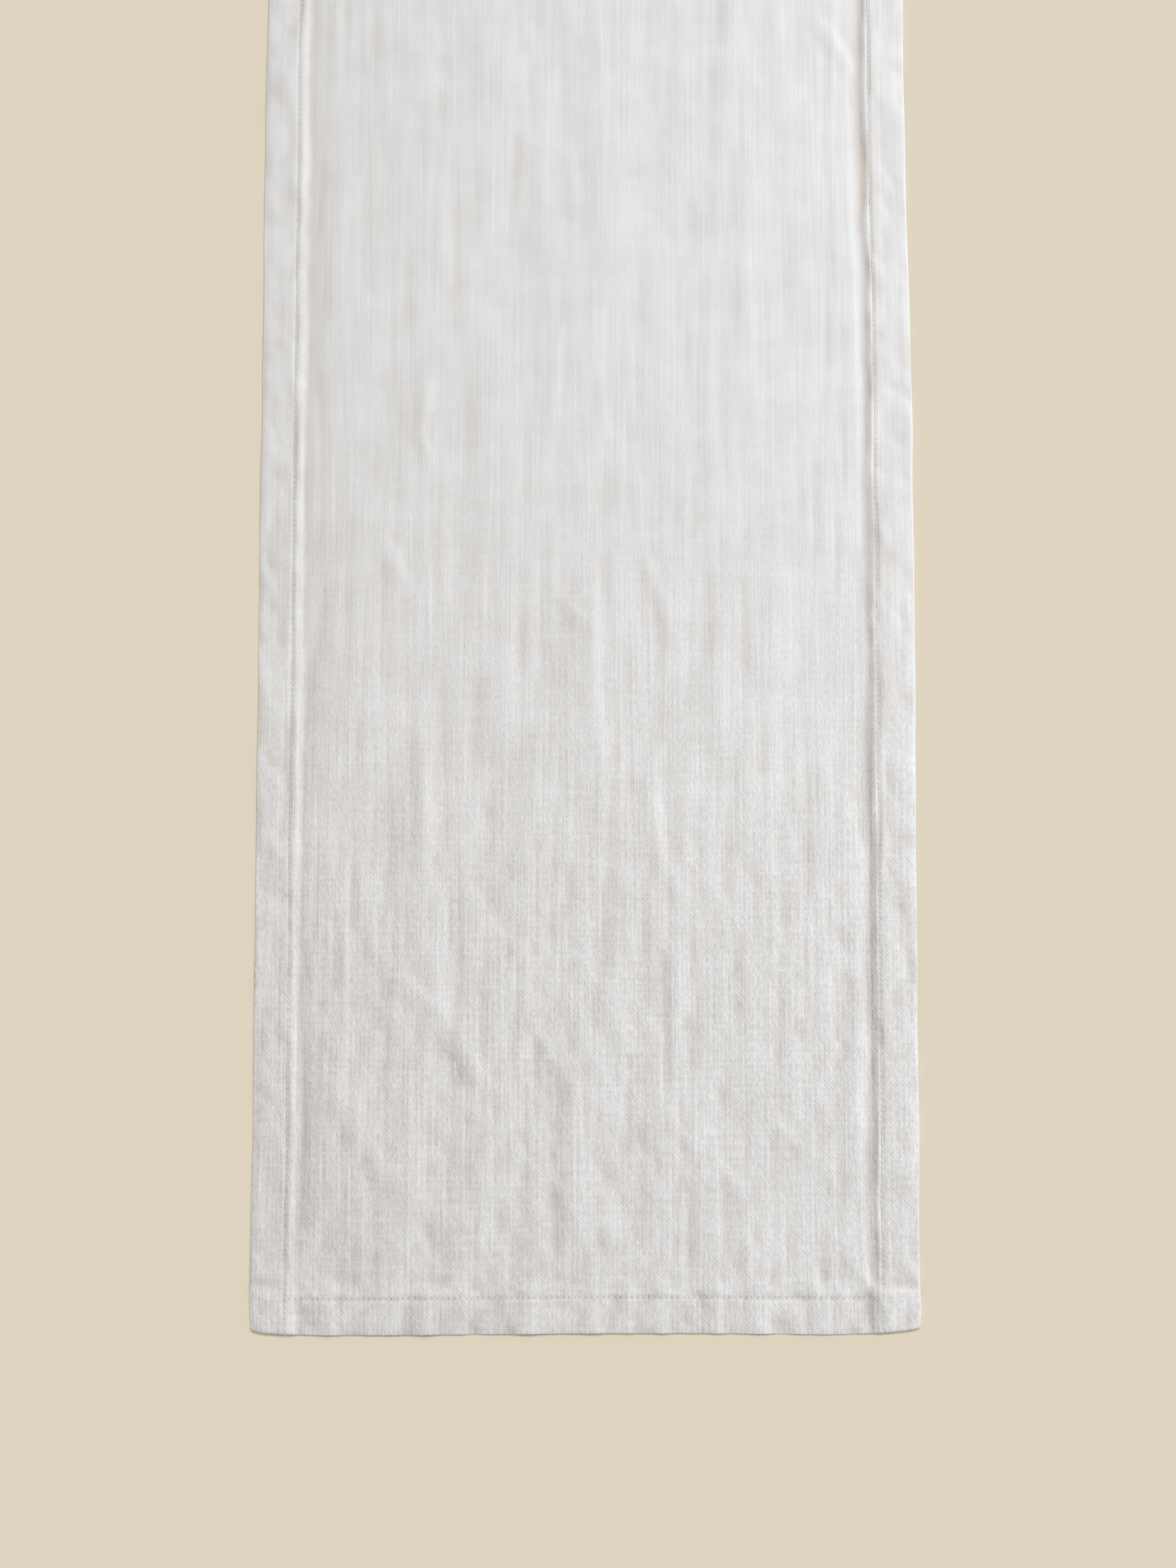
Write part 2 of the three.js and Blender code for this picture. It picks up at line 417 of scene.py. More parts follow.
@dataclass
class ClothLie:
    """How the washed cloth lies on the table: its crumple, its creases and the pull of its seams, and where
    shade is painted on it.
    """

    sizes: RunnerSizes
    seed: int = 2087
    edges: EdgeShift = EdgeShift()
    # Distance inboard of the hems over which the cloth comes down: left, right, at the ends, by a stack
    settle_left: float = 7.5
    settle_right: float = 4.8
    settle_end: float = 24.0
    settle_stack: float = 9.5
    # Height of the air under the single ply, how much it swells, and over what width and length
    puff: float = 1.15
    puff_swell: float = 0.22
    puff_size: tuple[float, float] = (26.0, 70.0)
    # Distance inboard of the side and end hems over which the air starts
    trough: tuple[float, float] = (4.0, 24.0)
    end_run: tuple[float, float] = (0.0, 24.0)
    # The same for the crumple: the hems hold it down, at the sides and at the ends
    free_side: tuple[float, float] = (-1.0, 10.0)
    free_end: tuple[float, float] = (-1.0, 12.0)
    tuck_run: tuple[float, float] = (-1.0, 2.0)
    # The same for the upper ply's own crumple, which is a hem's, and for the ripples across an end hem
    skin_run: tuple[float, float] = (-2.0, 6.0)
    ripple_side: tuple[float, float] = (-2.0, 8.0)
    ripple_end: tuple[float, float] = (-14.0, -2.0)
    # How crumpled the cloth is in the middle of its length and at its ends, and where that changes
    busy: tuple[float, float] = (1.05, 2.20)
    busy_run: tuple[float, float] = (150.0, 560.0)
    # Creases nearer the end than this stand at the far end too
    far_from: float = -380.0
    # How round the crests of ridged crumple are
    ridge_round: float = 0.01
    skin_limit: float = 0.34
    wobble: float = 0.35
    pucker_reach: float = 6.0
    seam_grip: float = 1.1
    # The lowest that an underside lies above the table, and how softly it is held there
    rest_gap: float = 0.03
    rest_soft: float = 0.12
    # Painted shade in the hollows: the blur that the face is measured against, and the depth below it at
    # which the shade is full
    hollow_reach: float = 4.0
    hollow_depth: float = 0.42
    # Painted shade along a side seam's groove, right and left, and how far it reaches
    painted_groove_shade: tuple[float, float] = (1.3, 0.8)
    groove_width: float = 3.2
    # The groove's painted shade is broken up by noise of this width and length: its mean and its swing
    groove_streak: tuple[float, float] = (3.0, 26.0)
    groove_mean: float = 0.05
    groove_swing: float = 0.60
    relief_map: np.ndarray = field(init=False, repr=False)
    skin_map: np.ndarray = field(init=False, repr=False)
    wobble_map: np.ndarray = field(init=False, repr=False)
    painted_shade_map: np.ndarray = field(init=False, repr=False)

    def __post_init__(self) -> None:
        """Works the relief out once, on a grid of 1 mm."""
        x, y = self._grid()
        rng = np.random.default_rng(self.seed)
        self.relief_map = self._relief(x, y, rng)
        self.skin_map = self._skin(x, y, rng)
        self.wobble_map = self._noise(rng, 35.0, 35.0) * self.wobble
        # Painted shade: where the face lies below the blurred face around it, and in streaks along the side
        # seams' grooves
        height = self.face(x, y)
        hollow = (self._blurred(height, self.hollow_reach) - height) / self.hollow_depth
        streaks = self.groove_mean + self.groove_swing * self._noise(rng, *self.groove_streak)
        groove = np.where(x > 0, *self.painted_groove_shade) * bell(np.abs(x) - self.sizes.seam_x, self.groove_width)
        self.painted_shade_map = np.clip(np.clip(hollow, 0.0, 1.0) + groove * np.clip(streaks, 0.0, 1.0), 0.0, 1.0)

    def _grid(self) -> tuple[np.ndarray, np.ndarray]:
        """The places of the 1 mm grid, as a column of x and a row of y."""
        spans = (round(self.sizes.half_width), round(self.sizes.half_length))
        return np.arange(-spans[0], spans[0] + 1.0)[:, None], np.arange(-spans[1], spans[1] + 1.0)[None, :]

    def _noise(self, rng: np.random.Generator, across: float, along: float, turn: float = 0.0) -> np.ndarray:
        """Smooth seeded noise: white noise whose spectrum is cut by a Gaussian in two directions.

        Args:
            rng: The generator that the white noise comes from.
            across: Width of its features.
            along: Length of its features.
            turn: Degrees by which the features lean from the runner's length.

        Returns:
            The noise on the 1 mm grid, with a mean of 0 and a spread of 1.
        """
        x, y = self._grid()
        white = rng.standard_normal((x.size, y.size))
        fx, fy = np.fft.fftfreq(x.size)[:, None], np.fft.rfftfreq(y.size)[None, :]
        lean = math.radians(turn)
        f_across = fx * math.cos(lean) + fy * math.sin(lean)
        f_along = fy * math.cos(lean) - fx * math.sin(lean)
        keep = np.exp(-2 * (np.square(f_across * across) + np.square(f_along * along)) * math.pi)
        noise = np.fft.irfft2(np.fft.rfft2(white) * keep, s=white.shape)
        return (noise - noise.mean()) / noise.std()

    @staticmethod
    def _blurred(values: np.ndarray, reach: float) -> np.ndarray:
        """A grid blurred by a Gaussian, worked out on its spectrum.

        Args:
            values: The grid, of 1 mm.
            reach: The Gaussian's spread.

        Returns:
            The blurred grid.
        """
        fx = np.fft.fftfreq(values.shape[0])[:, None]
        fy = np.fft.rfftfreq(values.shape[1])[None, :]
        keep = np.exp(-2 * np.square(math.pi * reach) * (np.square(fx) + np.square(fy)))
        return np.fft.irfft2(np.fft.rfft2(values) * keep, s=values.shape)

    def _ridged(self, noise: np.ndarray) -> np.ndarray:
        """Noise folded at 0, so that it has narrow crests, with a mean of 0."""
        ridges = 1.0 - np.sqrt(np.square(noise) + self.ridge_round)
        return ridges - ridges.mean()

    def _relief(self, x: np.ndarray, y: np.ndarray, rng: np.random.Generator) -> np.ndarray:
        """Relief above the plies' own height: puff, crumple, creases, seam puckers and hem ripples.

        Args:
            x: Places across the runner.
            y: Places along it.
            rng: The generator for the crumple.

        Returns:
            The relief on the grid, in millimetres; at least 0 on the hems.
        """
        sizes = self.sizes
        inboard, from_end = sizes.inboard(x), sizes.from_end(y)
        side_free = smooth_step(inboard, *self.trough)
        end_free = smooth_step(from_end, *self.end_run)
        free = smooth_step(inboard, *self.free_side) * smooth_step(from_end, *self.free_end)
        swell = 1.0 + self.puff_swell * self._noise(rng, *self.puff_size)
        relief = self.puff * side_free * end_free * swell
        relief = relief + self._crumpled(rng, GROUND_CRUMPLE) * self._busy(y) * free
        turned = tuple(crease.turned() for crease in GROUND_CREASES if crease.line[0][1] < self.far_from)
        for crease in GROUND_CREASES + turned:
            relief = relief + crease.relief(x, y) * free
        for tuck in SEAM_TUCKS:
            relief = relief + tuck.relief(x, y) * smooth_step(inboard, *self.tuck_run)
        seam_gap = np.minimum(np.abs(np.abs(x) - sizes.seam_x), np.abs(np.abs(y) - sizes.seam_y))
        relief = relief + self._crumpled(rng, SEAM_PUCKER) * bell(seam_gap, self.pucker_reach)
        relief = relief + self._crumpled(rng, HEM_CRUMPLE) * (1.0 - free)
        ripples = sum(height * bell(x - place, width) for place, height, width in END_RIPPLES)
        far_ripples = sum(height * bell(-x - place, width) for place, height, width in END_RIPPLES)
        end_hem = smooth_step(-from_end, *self.ripple_end) * smooth_step(inboard, *self.ripple_side)
        return relief + end_hem * np.where(y < 0, ripples, far_ripples)

    def _crumpled(self, rng: np.random.Generator, sizes: tuple[Crumple, ...]) -> np.ndarray:
        """Crumple of several sizes on the grid, drawn in their order and added up.

        Args:
            rng: The generator that the noise comes from.
            sizes: The sizes of crumple.

        Returns:
            The height on the grid, in millimetres.
        """
        away = np.abs(self._grid()[1])
        total = 0.0
        for crumple in sizes:
            noise = self._noise(rng, crumple.across, crumple.along, crumple.lean)
            if crumple.ridged:
                noise = self._ridged(noise)
            if crumple.base is not None:
                noise = np.clip(noise + crumple.base, 0.0, crumple.crest)
            if crumple.grows is not None:
                noise = noise * smooth_step(away, *crumple.grows)
            total = total + crumple.height * noise
        return total

    def _busy(self, y: np.ndarray) -> np.ndarray:
        """How crumpled the cloth is: smoother in the middle of its length than towards its ends."""
        return between(*self.busy, smooth_step(np.abs(y), *self.busy_run))

    def _skin(self, x: np.ndarray, y: np.ndarray, rng: np.random.Generator) -> np.ndarray:
        """Crumple of a hem's upper ply alone, which gives into the air below it.

        Args:
            x: Places across the runner.
            y: Places along it.
            rng: The generator for the crumple.

        Returns:
            The height on the grid, in millimetres, kept within the limit either way.
        """
        sizes = self.sizes
        inboard, from_end = sizes.inboard(x), sizes.from_end(y)
        on_hem = 1.0 - smooth_step(inboard, *self.skin_run) * smooth_step(from_end, *self.skin_run)
        crumple = self._crumpled(rng, SKIN_CRUMPLE) * self._busy(y) * on_hem
        dents = sum(dent.relief(x, y) for dent in HEM_DENTS)
        return np.clip(crumple + dents, -self.skin_limit, self.skin_limit)

    def _sampled(self, values: np.ndarray, x: np.ndarray, y: np.ndarray) -> np.ndarray:
        """Reads a grid at any place, in a straight line between its points.

        Args:
            values: The grid.
            x: Places across the runner.
            y: Places along it.

        Returns:
            The grid's value at each place.
        """
        x, y = np.broadcast_arrays(x, y)
        column = np.clip(x + (values.shape[0] - 1) / 2, 0.0, values.shape[0] - 1.001)
        row = np.clip(y + (values.shape[1] - 1) / 2, 0.0, values.shape[1] - 1.001)
        i, j = column.astype(int), row.astype(int)
        s, t = column - i, row - j
        low = values[i, j] * (1 - t) + values[i, j + 1] * t
        high = values[i + 1, j] * (1 - t) + values[i + 1, j + 1] * t
        return low * (1 - s) + high * s

    @staticmethod
    def _eased(inboard: np.ndarray, run: float | np.ndarray) -> np.ndarray:
        """1 up to the edge that inboard is measured from, easing to 0 along half a cosine wave."""
        return 0.5 + 0.5 * np.cos(math.pi * np.clip(inboard / run, 0.0, 1.0))

    def side_share(self, x: np.ndarray) -> np.ndarray:
        """1 over a side hem, easing to 0 inboard of it."""
        return self._eased(self.sizes.inboard(x), np.where(x > 0, self.settle_right, self.settle_left))

    def end_share(self, y: np.ndarray) -> np.ndarray:
        """1 over an end hem, easing to 0 inboard of it."""
        return self._eased(self.sizes.from_end(y), self.settle_end)

    def stack_across(self, x: np.ndarray) -> np.ndarray:
        """1 over a corner stack, easing to 0 along the end hem beside it."""
        return self._eased(self.sizes.inboard(x), self.settle_stack)

    def stack_along(self, y: np.ndarray) -> np.ndarray:
        """1 over a corner stack, easing to 0 along the side hem beside it."""
        return self._eased(self.sizes.from_end(y), self.settle_stack)

    def lift(self, x: np.ndarray, y: np.ndarray) -> np.ndarray:
        """Relief at any place of the finished runner, in millimetres."""
        return self._sampled(self.relief_map, x, y)

    def raised(self, x: np.ndarray, y: np.ndarray) -> np.ndarray:
        """How far the relief lifts all plies of a hem together: never below the table."""
        return np.maximum(self.lift(x, y), 0.0)

    def skin(self, x: np.ndarray, y: np.ndarray) -> np.ndarray:
        """Crumple of a hem's upper ply alone, at any place, in millimetres."""
        return self._sampled(self.skin_map, x, y)

    def hollow(self, x: np.ndarray, y: np.ndarray) -> np.ndarray:
        """Painted shade at any place, from 0 to 1: how deep the cloth lies below the cloth around it, and
        streaks along the side seams' grooves.
        """
        return self._sampled(self.painted_shade_map, x, y)

    def grip(self, away: np.ndarray) -> np.ndarray:
        """How strongly a seam presses its plies together, at a distance from it."""
        return bell(away, self.seam_grip)

    def face(self, x: np.ndarray, y: np.ndarray) -> np.ndarray:
        """Height of the upper ply's face: plies below it, relief, and the dip along each seam.

        Args:
            x: Places across the runner.
            y: Places along it.

        Returns:
            The height of the face above the table, in millimetres.
        """
        sizes = self.sizes
        side, end = self.side_share(x), self.end_share(y)
        across, along = self.stack_across(x), self.stack_along(y)
        under = sizes.hem_rise * (side + end - side * end) + sizes.corner_rise * across * along
        under = under + self.lift(x, y) + self.skin(x, y)
        under = self.rest_gap + self.rest_soft * np.logaddexp(0.0, (under - self.rest_gap) / self.rest_soft)
        ply = between(sizes.ply, sizes.corner_ply, across * along)
        dip_side = between(*sizes.sink, along) * self.grip(np.abs(x) - sizes.seam_x)
        dip_end = sizes.sink[0] * (1.0 - across) * self.grip(np.abs(y) - sizes.seam_y)
        return under + ply - np.maximum(dip_side, dip_end)

    def placed(self, x: np.ndarray, y: np.ndarray, z: np.ndarray) -> np.ndarray:
        """Points of the cloth after the shift in its own plane.

        Args:
            x: Places across the runner, before the shift.
            y: Places along it, before the shift.
            z: Heights.

        Returns:
            An array of points whose last axis is x, y, z.
        """
        dx, dy = self.edges.shift(self.sizes, x, y, self._sampled(self.wobble_map, x, y))
        return np.stack(np.broadcast_arrays(x + dx, y + dy, z), axis=-1)


# ---------------------------------------------------------------------------------------------------
# Meshes
# ---------------------------------------------------------------------------------------------------

# Faces that meet at a sharper turn than this are shaded apart
SHARP_TURN = math.radians(55)
STRAND_CORNERS = 6


def flat_places(x: np.ndarray, y: np.ndarray) -> np.ndarray:
    """Places on the flat cloth, in metres, whose last axis is across and along."""
    return np.stack(np.broadcast_arrays(x * MM, y * MM), axis=-1)


def grid_quads(ids: np.ndarray) -> np.ndarray:
    """The four-cornered faces of a grid of vertex numbers, one row of the result per face."""
    corners = (ids[:-1, :-1], ids[:-1, 1:], ids[1:, 1:], ids[1:, :-1])
    return np.stack([corner.ravel() for corner in corners], axis=1)


def rim_faces(edge: np.ndarray, under: np.ndarray) -> np.ndarray:
    """Faces that join one edge of a face grid to the same edge of its back grid.

    Args:
        edge: Vertex numbers along the face grid's edge.
        under: Vertex numbers along the back grid's edge, which may have fewer, evenly spaced.

    Returns:
        One face per step of the back edge.
    """
    ratio = (len(edge) - 1) // (len(under) - 1)
    upper = [edge[ratio - k :: ratio][: len(under) - 1] for k in range(ratio)]
    return np.stack([*upper, edge[:-1:ratio], under[:-1], under[1:]], axis=1)


def add_object(name: str, data: Any) -> bpy.types.Object:
    """Puts a mesh, a lamp or a camera into the scene.

    Args:
        name: The object's name.
        data: What it shows.

    Returns:
        The object, at the origin.
    """
    made = bpy.data.objects.new(name, data)
    bpy.context.scene.collection.objects.link(made)
    return made


def signed_volume(points: np.ndarray, faces: list[np.ndarray]) -> float:
    """Volume that the faces enclose: the sum over their triangles of the solid from each to the origin.

    Args:
        points: One row of x, y, z per vertex.
        faces: Groups of faces, each an array with one row of vertex numbers per face.

    Returns:
        The volume, positive if the faces point outwards.
    """
    total = 0.0
    for group in faces:
        first = points[group[:, 0]]
        for k in range(1, group.shape[1] - 1):
            turn = np.cross(points[group[:, k]], points[group[:, k + 1]])
            total += float((first * turn).sum() / 6)
    return total


def make_piece(
    name: str, points: np.ndarray, faces: list[np.ndarray], flat: np.ndarray, hollow: np.ndarray | None = None
) -> bpy.types.Object:
    """Puts points in millimetres and their faces into a smooth mesh that faces outwards.

    Args:
        name: The piece's name.
        points: One row of x, y, z per vertex.
        faces: Groups of faces, each an array with one row of vertex numbers per face.
        flat: One row per vertex: where it lies on the flat, uncut cloth or thread, in metres.
        hollow: How much painted shade each vertex takes, from 0 to 1, by how deep it lies below the cloth
            around it, if it is cloth.

    Returns:
        The object, at the origin, linked to the scene.
    """
    if signed_volume(points, faces) < 0:
        faces = [group[:, ::-1] for group in faces]
    corners = np.concatenate([group.ravel() for group in faces]).astype(np.int32)
    counts = np.concatenate([np.full(len(group), group.shape[1]) for group in faces])
    starts = (np.cumsum(counts) - counts).astype(np.int32)
    mesh = bpy.data.meshes.new(name)
    mesh.vertices.add(len(points))
    mesh.vertices.foreach_set("co", (points * MM).astype(np.float32).ravel())
    mesh.loops.add(len(corners))
    mesh.loops.foreach_set("vertex_index", corners)
    mesh.polygons.add(len(counts))
    mesh.polygons.foreach_set("loop_start", starts)
    mesh.update(calc_edges=True)
    mesh.polygons.foreach_set("use_smooth", np.ones(len(counts), bool))
    layer = mesh.uv_layers.new(name="flat_cloth")
    layer.data.foreach_set("uv", flat[corners].astype(np.float32).ravel())
    # The painted shade goes on the vertices, where the linen's material reads it
    if hollow is not None:
        mesh.attributes.new("hollow", "FLOAT", "POINT").data.foreach_set("value", hollow.astype(np.float32))
    mesh.set_sharp_from_angle(angle=SHARP_TURN)
    mesh.validate()
    return add_object(name, mesh)


def make_ply(
    name: str, face: np.ndarray, back: np.ndarray, flat: np.ndarray, hollow: np.ndarray
) -> bpy.types.Object:
    """A closed ply of cloth between a face grid and a back grid.

    Args:
        name: The piece's name.
        face: Points of the face, rows by columns by 3.
        back: Points of the back, on the same grid or on every second row and column of it.
        flat: Where the face's points lie on the flat cloth, in metres, rows by columns by 2.
        hollow: How much painted shade the face's points take, from how deep they lie below the cloth around
            them, rows by columns.

    Returns:
        The piece.
    """
    face_ids = np.arange(face.shape[0] * face.shape[1]).reshape(face.shape[:2])
    back_ids = face_ids.size + np.arange(back.shape[0] * back.shape[1]).reshape(back.shape[:2])
    rims = [
        rim_faces(face_ids[0], back_ids[0]),
        rim_faces(face_ids[:, -1], back_ids[:, -1]),
        rim_faces(face_ids[-1, ::-1], back_ids[-1, ::-1]),
        rim_faces(face_ids[::-1, 0], back_ids[::-1, 0]),
    ]
    step = (face.shape[0] - 1) // (back.shape[0] - 1)
    back_flat = flat[::step, ::step]
    points = np.concatenate([face.reshape(-1, 3), back.reshape(-1, 3)])
    places = np.concatenate([flat.reshape(-1, 2), back_flat.reshape(-1, 2)])
    faces = [grid_quads(face_ids), grid_quads(back_ids)[:, ::-1], *rims]
    painted_shade = np.concatenate([hollow.ravel(), np.zeros(back_ids.size)])
    return make_piece(name, points, faces, places, painted_shade)


def make_strand(
    name: str, line: np.ndarray, side: np.ndarray, radii: tuple[float, float]
) -> bpy.types.Object:
    """A closed strand: an ellipse of six corners carried along a line and capped at both ends.

    Args:
        name: The piece's name.
        line: Points down the middle of the strand.
        side: The direction across the strand that lies in the cloth's plane.
        radii: Half its width and half its height.

    Returns:
        The piece, whose flat places run along the strand and once round it.
    """
    tangent = np.gradient(line, axis=0)
    tangent /= np.linalg.norm(tangent, axis=1, keepdims=True)
    up = np.cross(tangent, side)
    up /= np.linalg.norm(up, axis=1, keepdims=True)
    across = np.cross(up, tangent)
    turn = np.linspace(0.0, 2 * math.pi, STRAND_CORNERS, endpoint=False)
    ring = (
        radii[0] * np.cos(turn)[None, :, None] * across[:, None]
        + radii[1] * np.sin(turn)[None, :, None] * up[:, None]
    )
    points = (line[:, None] + ring).reshape(-1, 3)
    ids = np.arange(len(points)).reshape(len(line), STRAND_CORNERS)
    closed = np.concatenate([ids, ids[:, :1]], axis=1)
    caps = np.stack([ids[0], ids[-1, ::-1]])
    length = np.concatenate([[0.0], np.cumsum(np.linalg.norm(np.diff(line, axis=0), axis=1))])
    flat = np.stack(np.broadcast_arrays(length[:, None] * MM, turn[None] / (2 * math.pi)), axis=-1)
    return make_piece(name, points, [grid_quads(closed), caps], flat.reshape(-1, 2))


# ---------------------------------------------------------------------------------------------------
# Finishes
# ---------------------------------------------------------------------------------------------------


def linear(colour: str) -> tuple[float, float, float, float]:
    """A colour turned to linear light by the sRGB curve.

    Args:
        colour: The colour as sRGB hex.

    Returns:
        Red, green, blue and an alpha of 1.
    """
    channels = [int(colour[k : k + 2], 16) / 255 for k in (1, 3, 5)]
    r, g, b = (c / 12.92 if c <= 0.04045 else ((c + 0.055) / 1.055) ** 2.4 for c in channels)
    return (r, g, b, 1.0)


def add_node(
    tree: bpy.types.NodeTree,
    kind: str,
    inputs: dict[str | int, Any] | None = None,
    **settings: Any,
) -> bpy.types.Node:
    """Adds a node with its settings, and links or sets its inputs.

    Args:
        tree: The material's or world's node tree.
        kind: The node's type, without its ShaderNode prefix.
        inputs: What each input gets: a value, an output socket, or a node whose first output is meant.
        **settings: The node's own properties.

    Returns:
        The node.
    """
    node = tree.nodes.new(f"ShaderNode{kind}")
    for key, value in settings.items():
        setattr(node, key, value)
    for key, value in (inputs or {}).items():
        if isinstance(value, bpy.types.Node):
            value = value.outputs[0]
        if isinstance(value, bpy.types.NodeSocket):
            tree.links.new(value, node.inputs[key])
        else:
            node.inputs[key].default_value = value
    return node


def new_material(name: str) -> tuple[bpy.types.Material, bpy.types.NodeTree]:
    """An empty node material.

    Args:
        name: The material's name.

    Returns:
        The material and its node tree.
    """
    material = bpy.data.materials.new(name)
    material.use_nodes = True
    material.node_tree.nodes.clear()
    return material, material.node_tree


@dataclass(frozen=True)
class WashedLinen:
    """Plain-woven linen, garment-washed: matt, a dry grain of uneven yarns, soft fibre fuzz at its folds."""

    name: str = "washed_linen_plain_weave"
    light: str = "#F9F9FA"
    light_ends: str = "#F9F8F8"
    dark: str = "#CFCAC4"
    # Painted shade: in the hollows and along the side seams' grooves the colour is darkened and warmed
    # towards this tone
    painted_shade_tone: str = "#B9A492"
    painted_shade_share: float = 0.34
    # Flax fibre is matt, with a little fuzz that catches the light at a low angle
    roughness: float = 0.92
    ior: float = 1.45
    specular: float = 0.2
    sheen: float = 0.25
    sheen_roughness: float = 0.5
    # Yarns are about 0.9 mm apart. They are drawn 1.25 mm apart, because the real spacing is finer
    # than one dot of a render of the whole runner and would show as nothing or as false stripes.
    yarn: float = 1.25
    # Wefts are a little further apart than warps
    wefts_per_warp: float = 0.93
    # Slubs: thick places of an uneven yarn, about a yarn wide and some centimetres long
    slub_width: float = 1.9
    slub_length: float = 95.0
    # Washing leaves a dry, pebbled grain where the cloth dried crumpled, most of it near the ends
    grain: float = 1.9
    # Width of a grain as a share of its length
    grain_width: float = 0.55
    mottle: float = 26.0
    mottle_detail: float = 3.0
    yarn_detail: float = 1.0
    yarn_roughness: float = 0.6
    calm: float = 0.16
    calm_to: float = 100.0
    busy_from: float = 560.0
    bump_depth: float = 0.13
    # How much the grain, the weft and the weave change the tone, and how much they stand up
    yarn_tone: tuple[float, float, float] = (0.60, 0.26, 0.06)
    yarn_height: tuple[float, float, float] = (1.7, 0.6, 0.32)
    # The same for the warp, and how much of it shows in the middle of the length and at the ends
    warp_tone: float = 0.70
    warp_height: float = 1.8
    warp_calm: float = 0.27
    warp_busy: float = 0.78
    base_tone: float = 0.40
    mottle_tone: float = 0.34
    # Needle holes are darkened in colour: painted shade in the holes
    painted_hole_shade: float = 0.36
    # A needle hole: half its width, and the height of a cosine wave at which it starts and is full
    hole_reach: float = 0.7
    hole_start: float = 0.35
    hole_full: float = 0.9

    def material(self, sizes: RunnerSizes, pitch: float) -> bpy.types.Material:
        """Builds the material: weave, slubs, grain and mottling on the cloth's own flat places.

        Args:
            sizes: The runner's sizes, for the lines of needle holes.
            pitch: The stitch length.

        Returns:
            The material.
        """
        material, tree = new_material(self.name)
        flat = add_node(tree, "UVMap", uv_map="flat_cloth")
        in_mm = add_node(tree, "VectorMath", {0: flat, "Scale": 1 / MM}, operation="SCALE")
        split = add_node(tree, "SeparateXYZ", {0: in_mm})
        x, y = split.outputs[0], split.outputs[1]
        from_middle = add_node(tree, "Math", {0: y}, operation="ABSOLUTE")
        spread = {0: from_middle, 1: self.calm_to, 2: self.busy_from, 3: self.calm, 4: 1.0}
        busy = add_node(tree, "MapRange", spread, interpolation_type="SMOOTHSTEP")
        steady = add_node(tree, "MapRange", {0: busy, 3: self.warp_calm, 4: self.warp_busy})
        streaks = self._streaks(tree, in_mm, self.slub_width, self.slub_length)
        warp = add_node(tree, "Math", {0: streaks, 1: steady}, operation="MULTIPLY")
        weft = self._streaks(tree, in_mm, self.slub_length / 2, self.slub_width)
        grain = self._streaks(tree, in_mm, self.grain, self.grain / self.grain_width)
        yarns = add_node(tree, "CombineXYZ", {0: grain, 1: weft, 2: self._weave(tree, x, y)})
        holes = self._needle_holes(tree, x, y, sizes, pitch)
        tone = self._mixed(tree, yarns, self.yarn_tone, busy, warp, self.warp_tone)
        colour = self._colour(tree, in_mm, tone, holes, busy)
        height = self._mixed(tree, yarns, self.yarn_height, busy, warp, self.warp_height)
        height = add_node(tree, "Math", {0: height, 1: holes}, operation="SUBTRACT")
        bump = add_node(tree, "Bump", {"Height": height, "Strength": 1.0, "Distance": self.bump_depth * MM})
        looks = {
            "Base Color": colour,
            "Roughness": self.roughness,
            "IOR": self.ior,
            "Specular IOR Level": self.specular,
            "Sheen Weight": self.sheen,
            "Sheen Roughness": self.sheen_roughness,
            "Normal": bump,
        }
        add_node(tree, "OutputMaterial", {"Surface": add_node(tree, "BsdfPrincipled", looks)})
        return material

    def _colour(self, tree: bpy.types.NodeTree, in_mm: Any, tone: Any, holes: Any, busy: Any) -> Any:
        """Tone turned to colour: dark to light by yarns and mottling, darker at needle holes as painted
        shade, then darkened and warmed by painted shade in the hollows.

        Args:
            tree: The material's nodes.
            in_mm: Flat places in millimetres.
            tone: How much the yarns lighten the cloth.
            holes: 1 at a needle hole, 0 elsewhere.
            busy: How busy the cloth is, from 0 to 1.

        Returns:
            A socket with the colour.
        """
        cloud = {"Vector": in_mm, "Scale": 1 / self.mottle, "Detail": self.mottle_detail}
        mottle = add_node(tree, "TexNoise", cloud, noise_dimensions="2D")
        spots = add_node(tree, "CombineXYZ", {0: mottle, 1: holes, 2: 1.0})
        # Needle holes take a painted shade
        weights = {0: spots, 1: (self.mottle_tone, -self.painted_hole_shade, self.base_tone)}
        base = add_node(tree, "VectorMath", weights, operation="DOT_PRODUCT").outputs["Value"]
        shade = add_node(tree, "Math", {0: tone, 1: base}, operation="ADD")
        # A Mix node's colours are its inputs 6 and 7 and its output 2
        tones = {"Factor": busy, 6: linear(self.light), 7: linear(self.light_ends)}
        light = add_node(tree, "Mix", tones, data_type="RGBA").outputs[2]
        tones = {"Factor": shade, 6: linear(self.dark), 7: light}
        colour = add_node(tree, "Mix", tones, data_type="RGBA").outputs[2]
        # Painted shade: the hollows and seam grooves are mixed towards a darker, warmer tone
        hollow = add_node(tree, "Attribute", attribute_name="hollow").outputs["Fac"]
        share = add_node(tree, "Math", {0: hollow, 1: self.painted_shade_share}, operation="MULTIPLY")
        tones = {"Factor": share, 6: colour, 7: linear(self.painted_shade_tone)}
        return add_node(tree, "Mix", tones, data_type="RGBA").outputs[2]

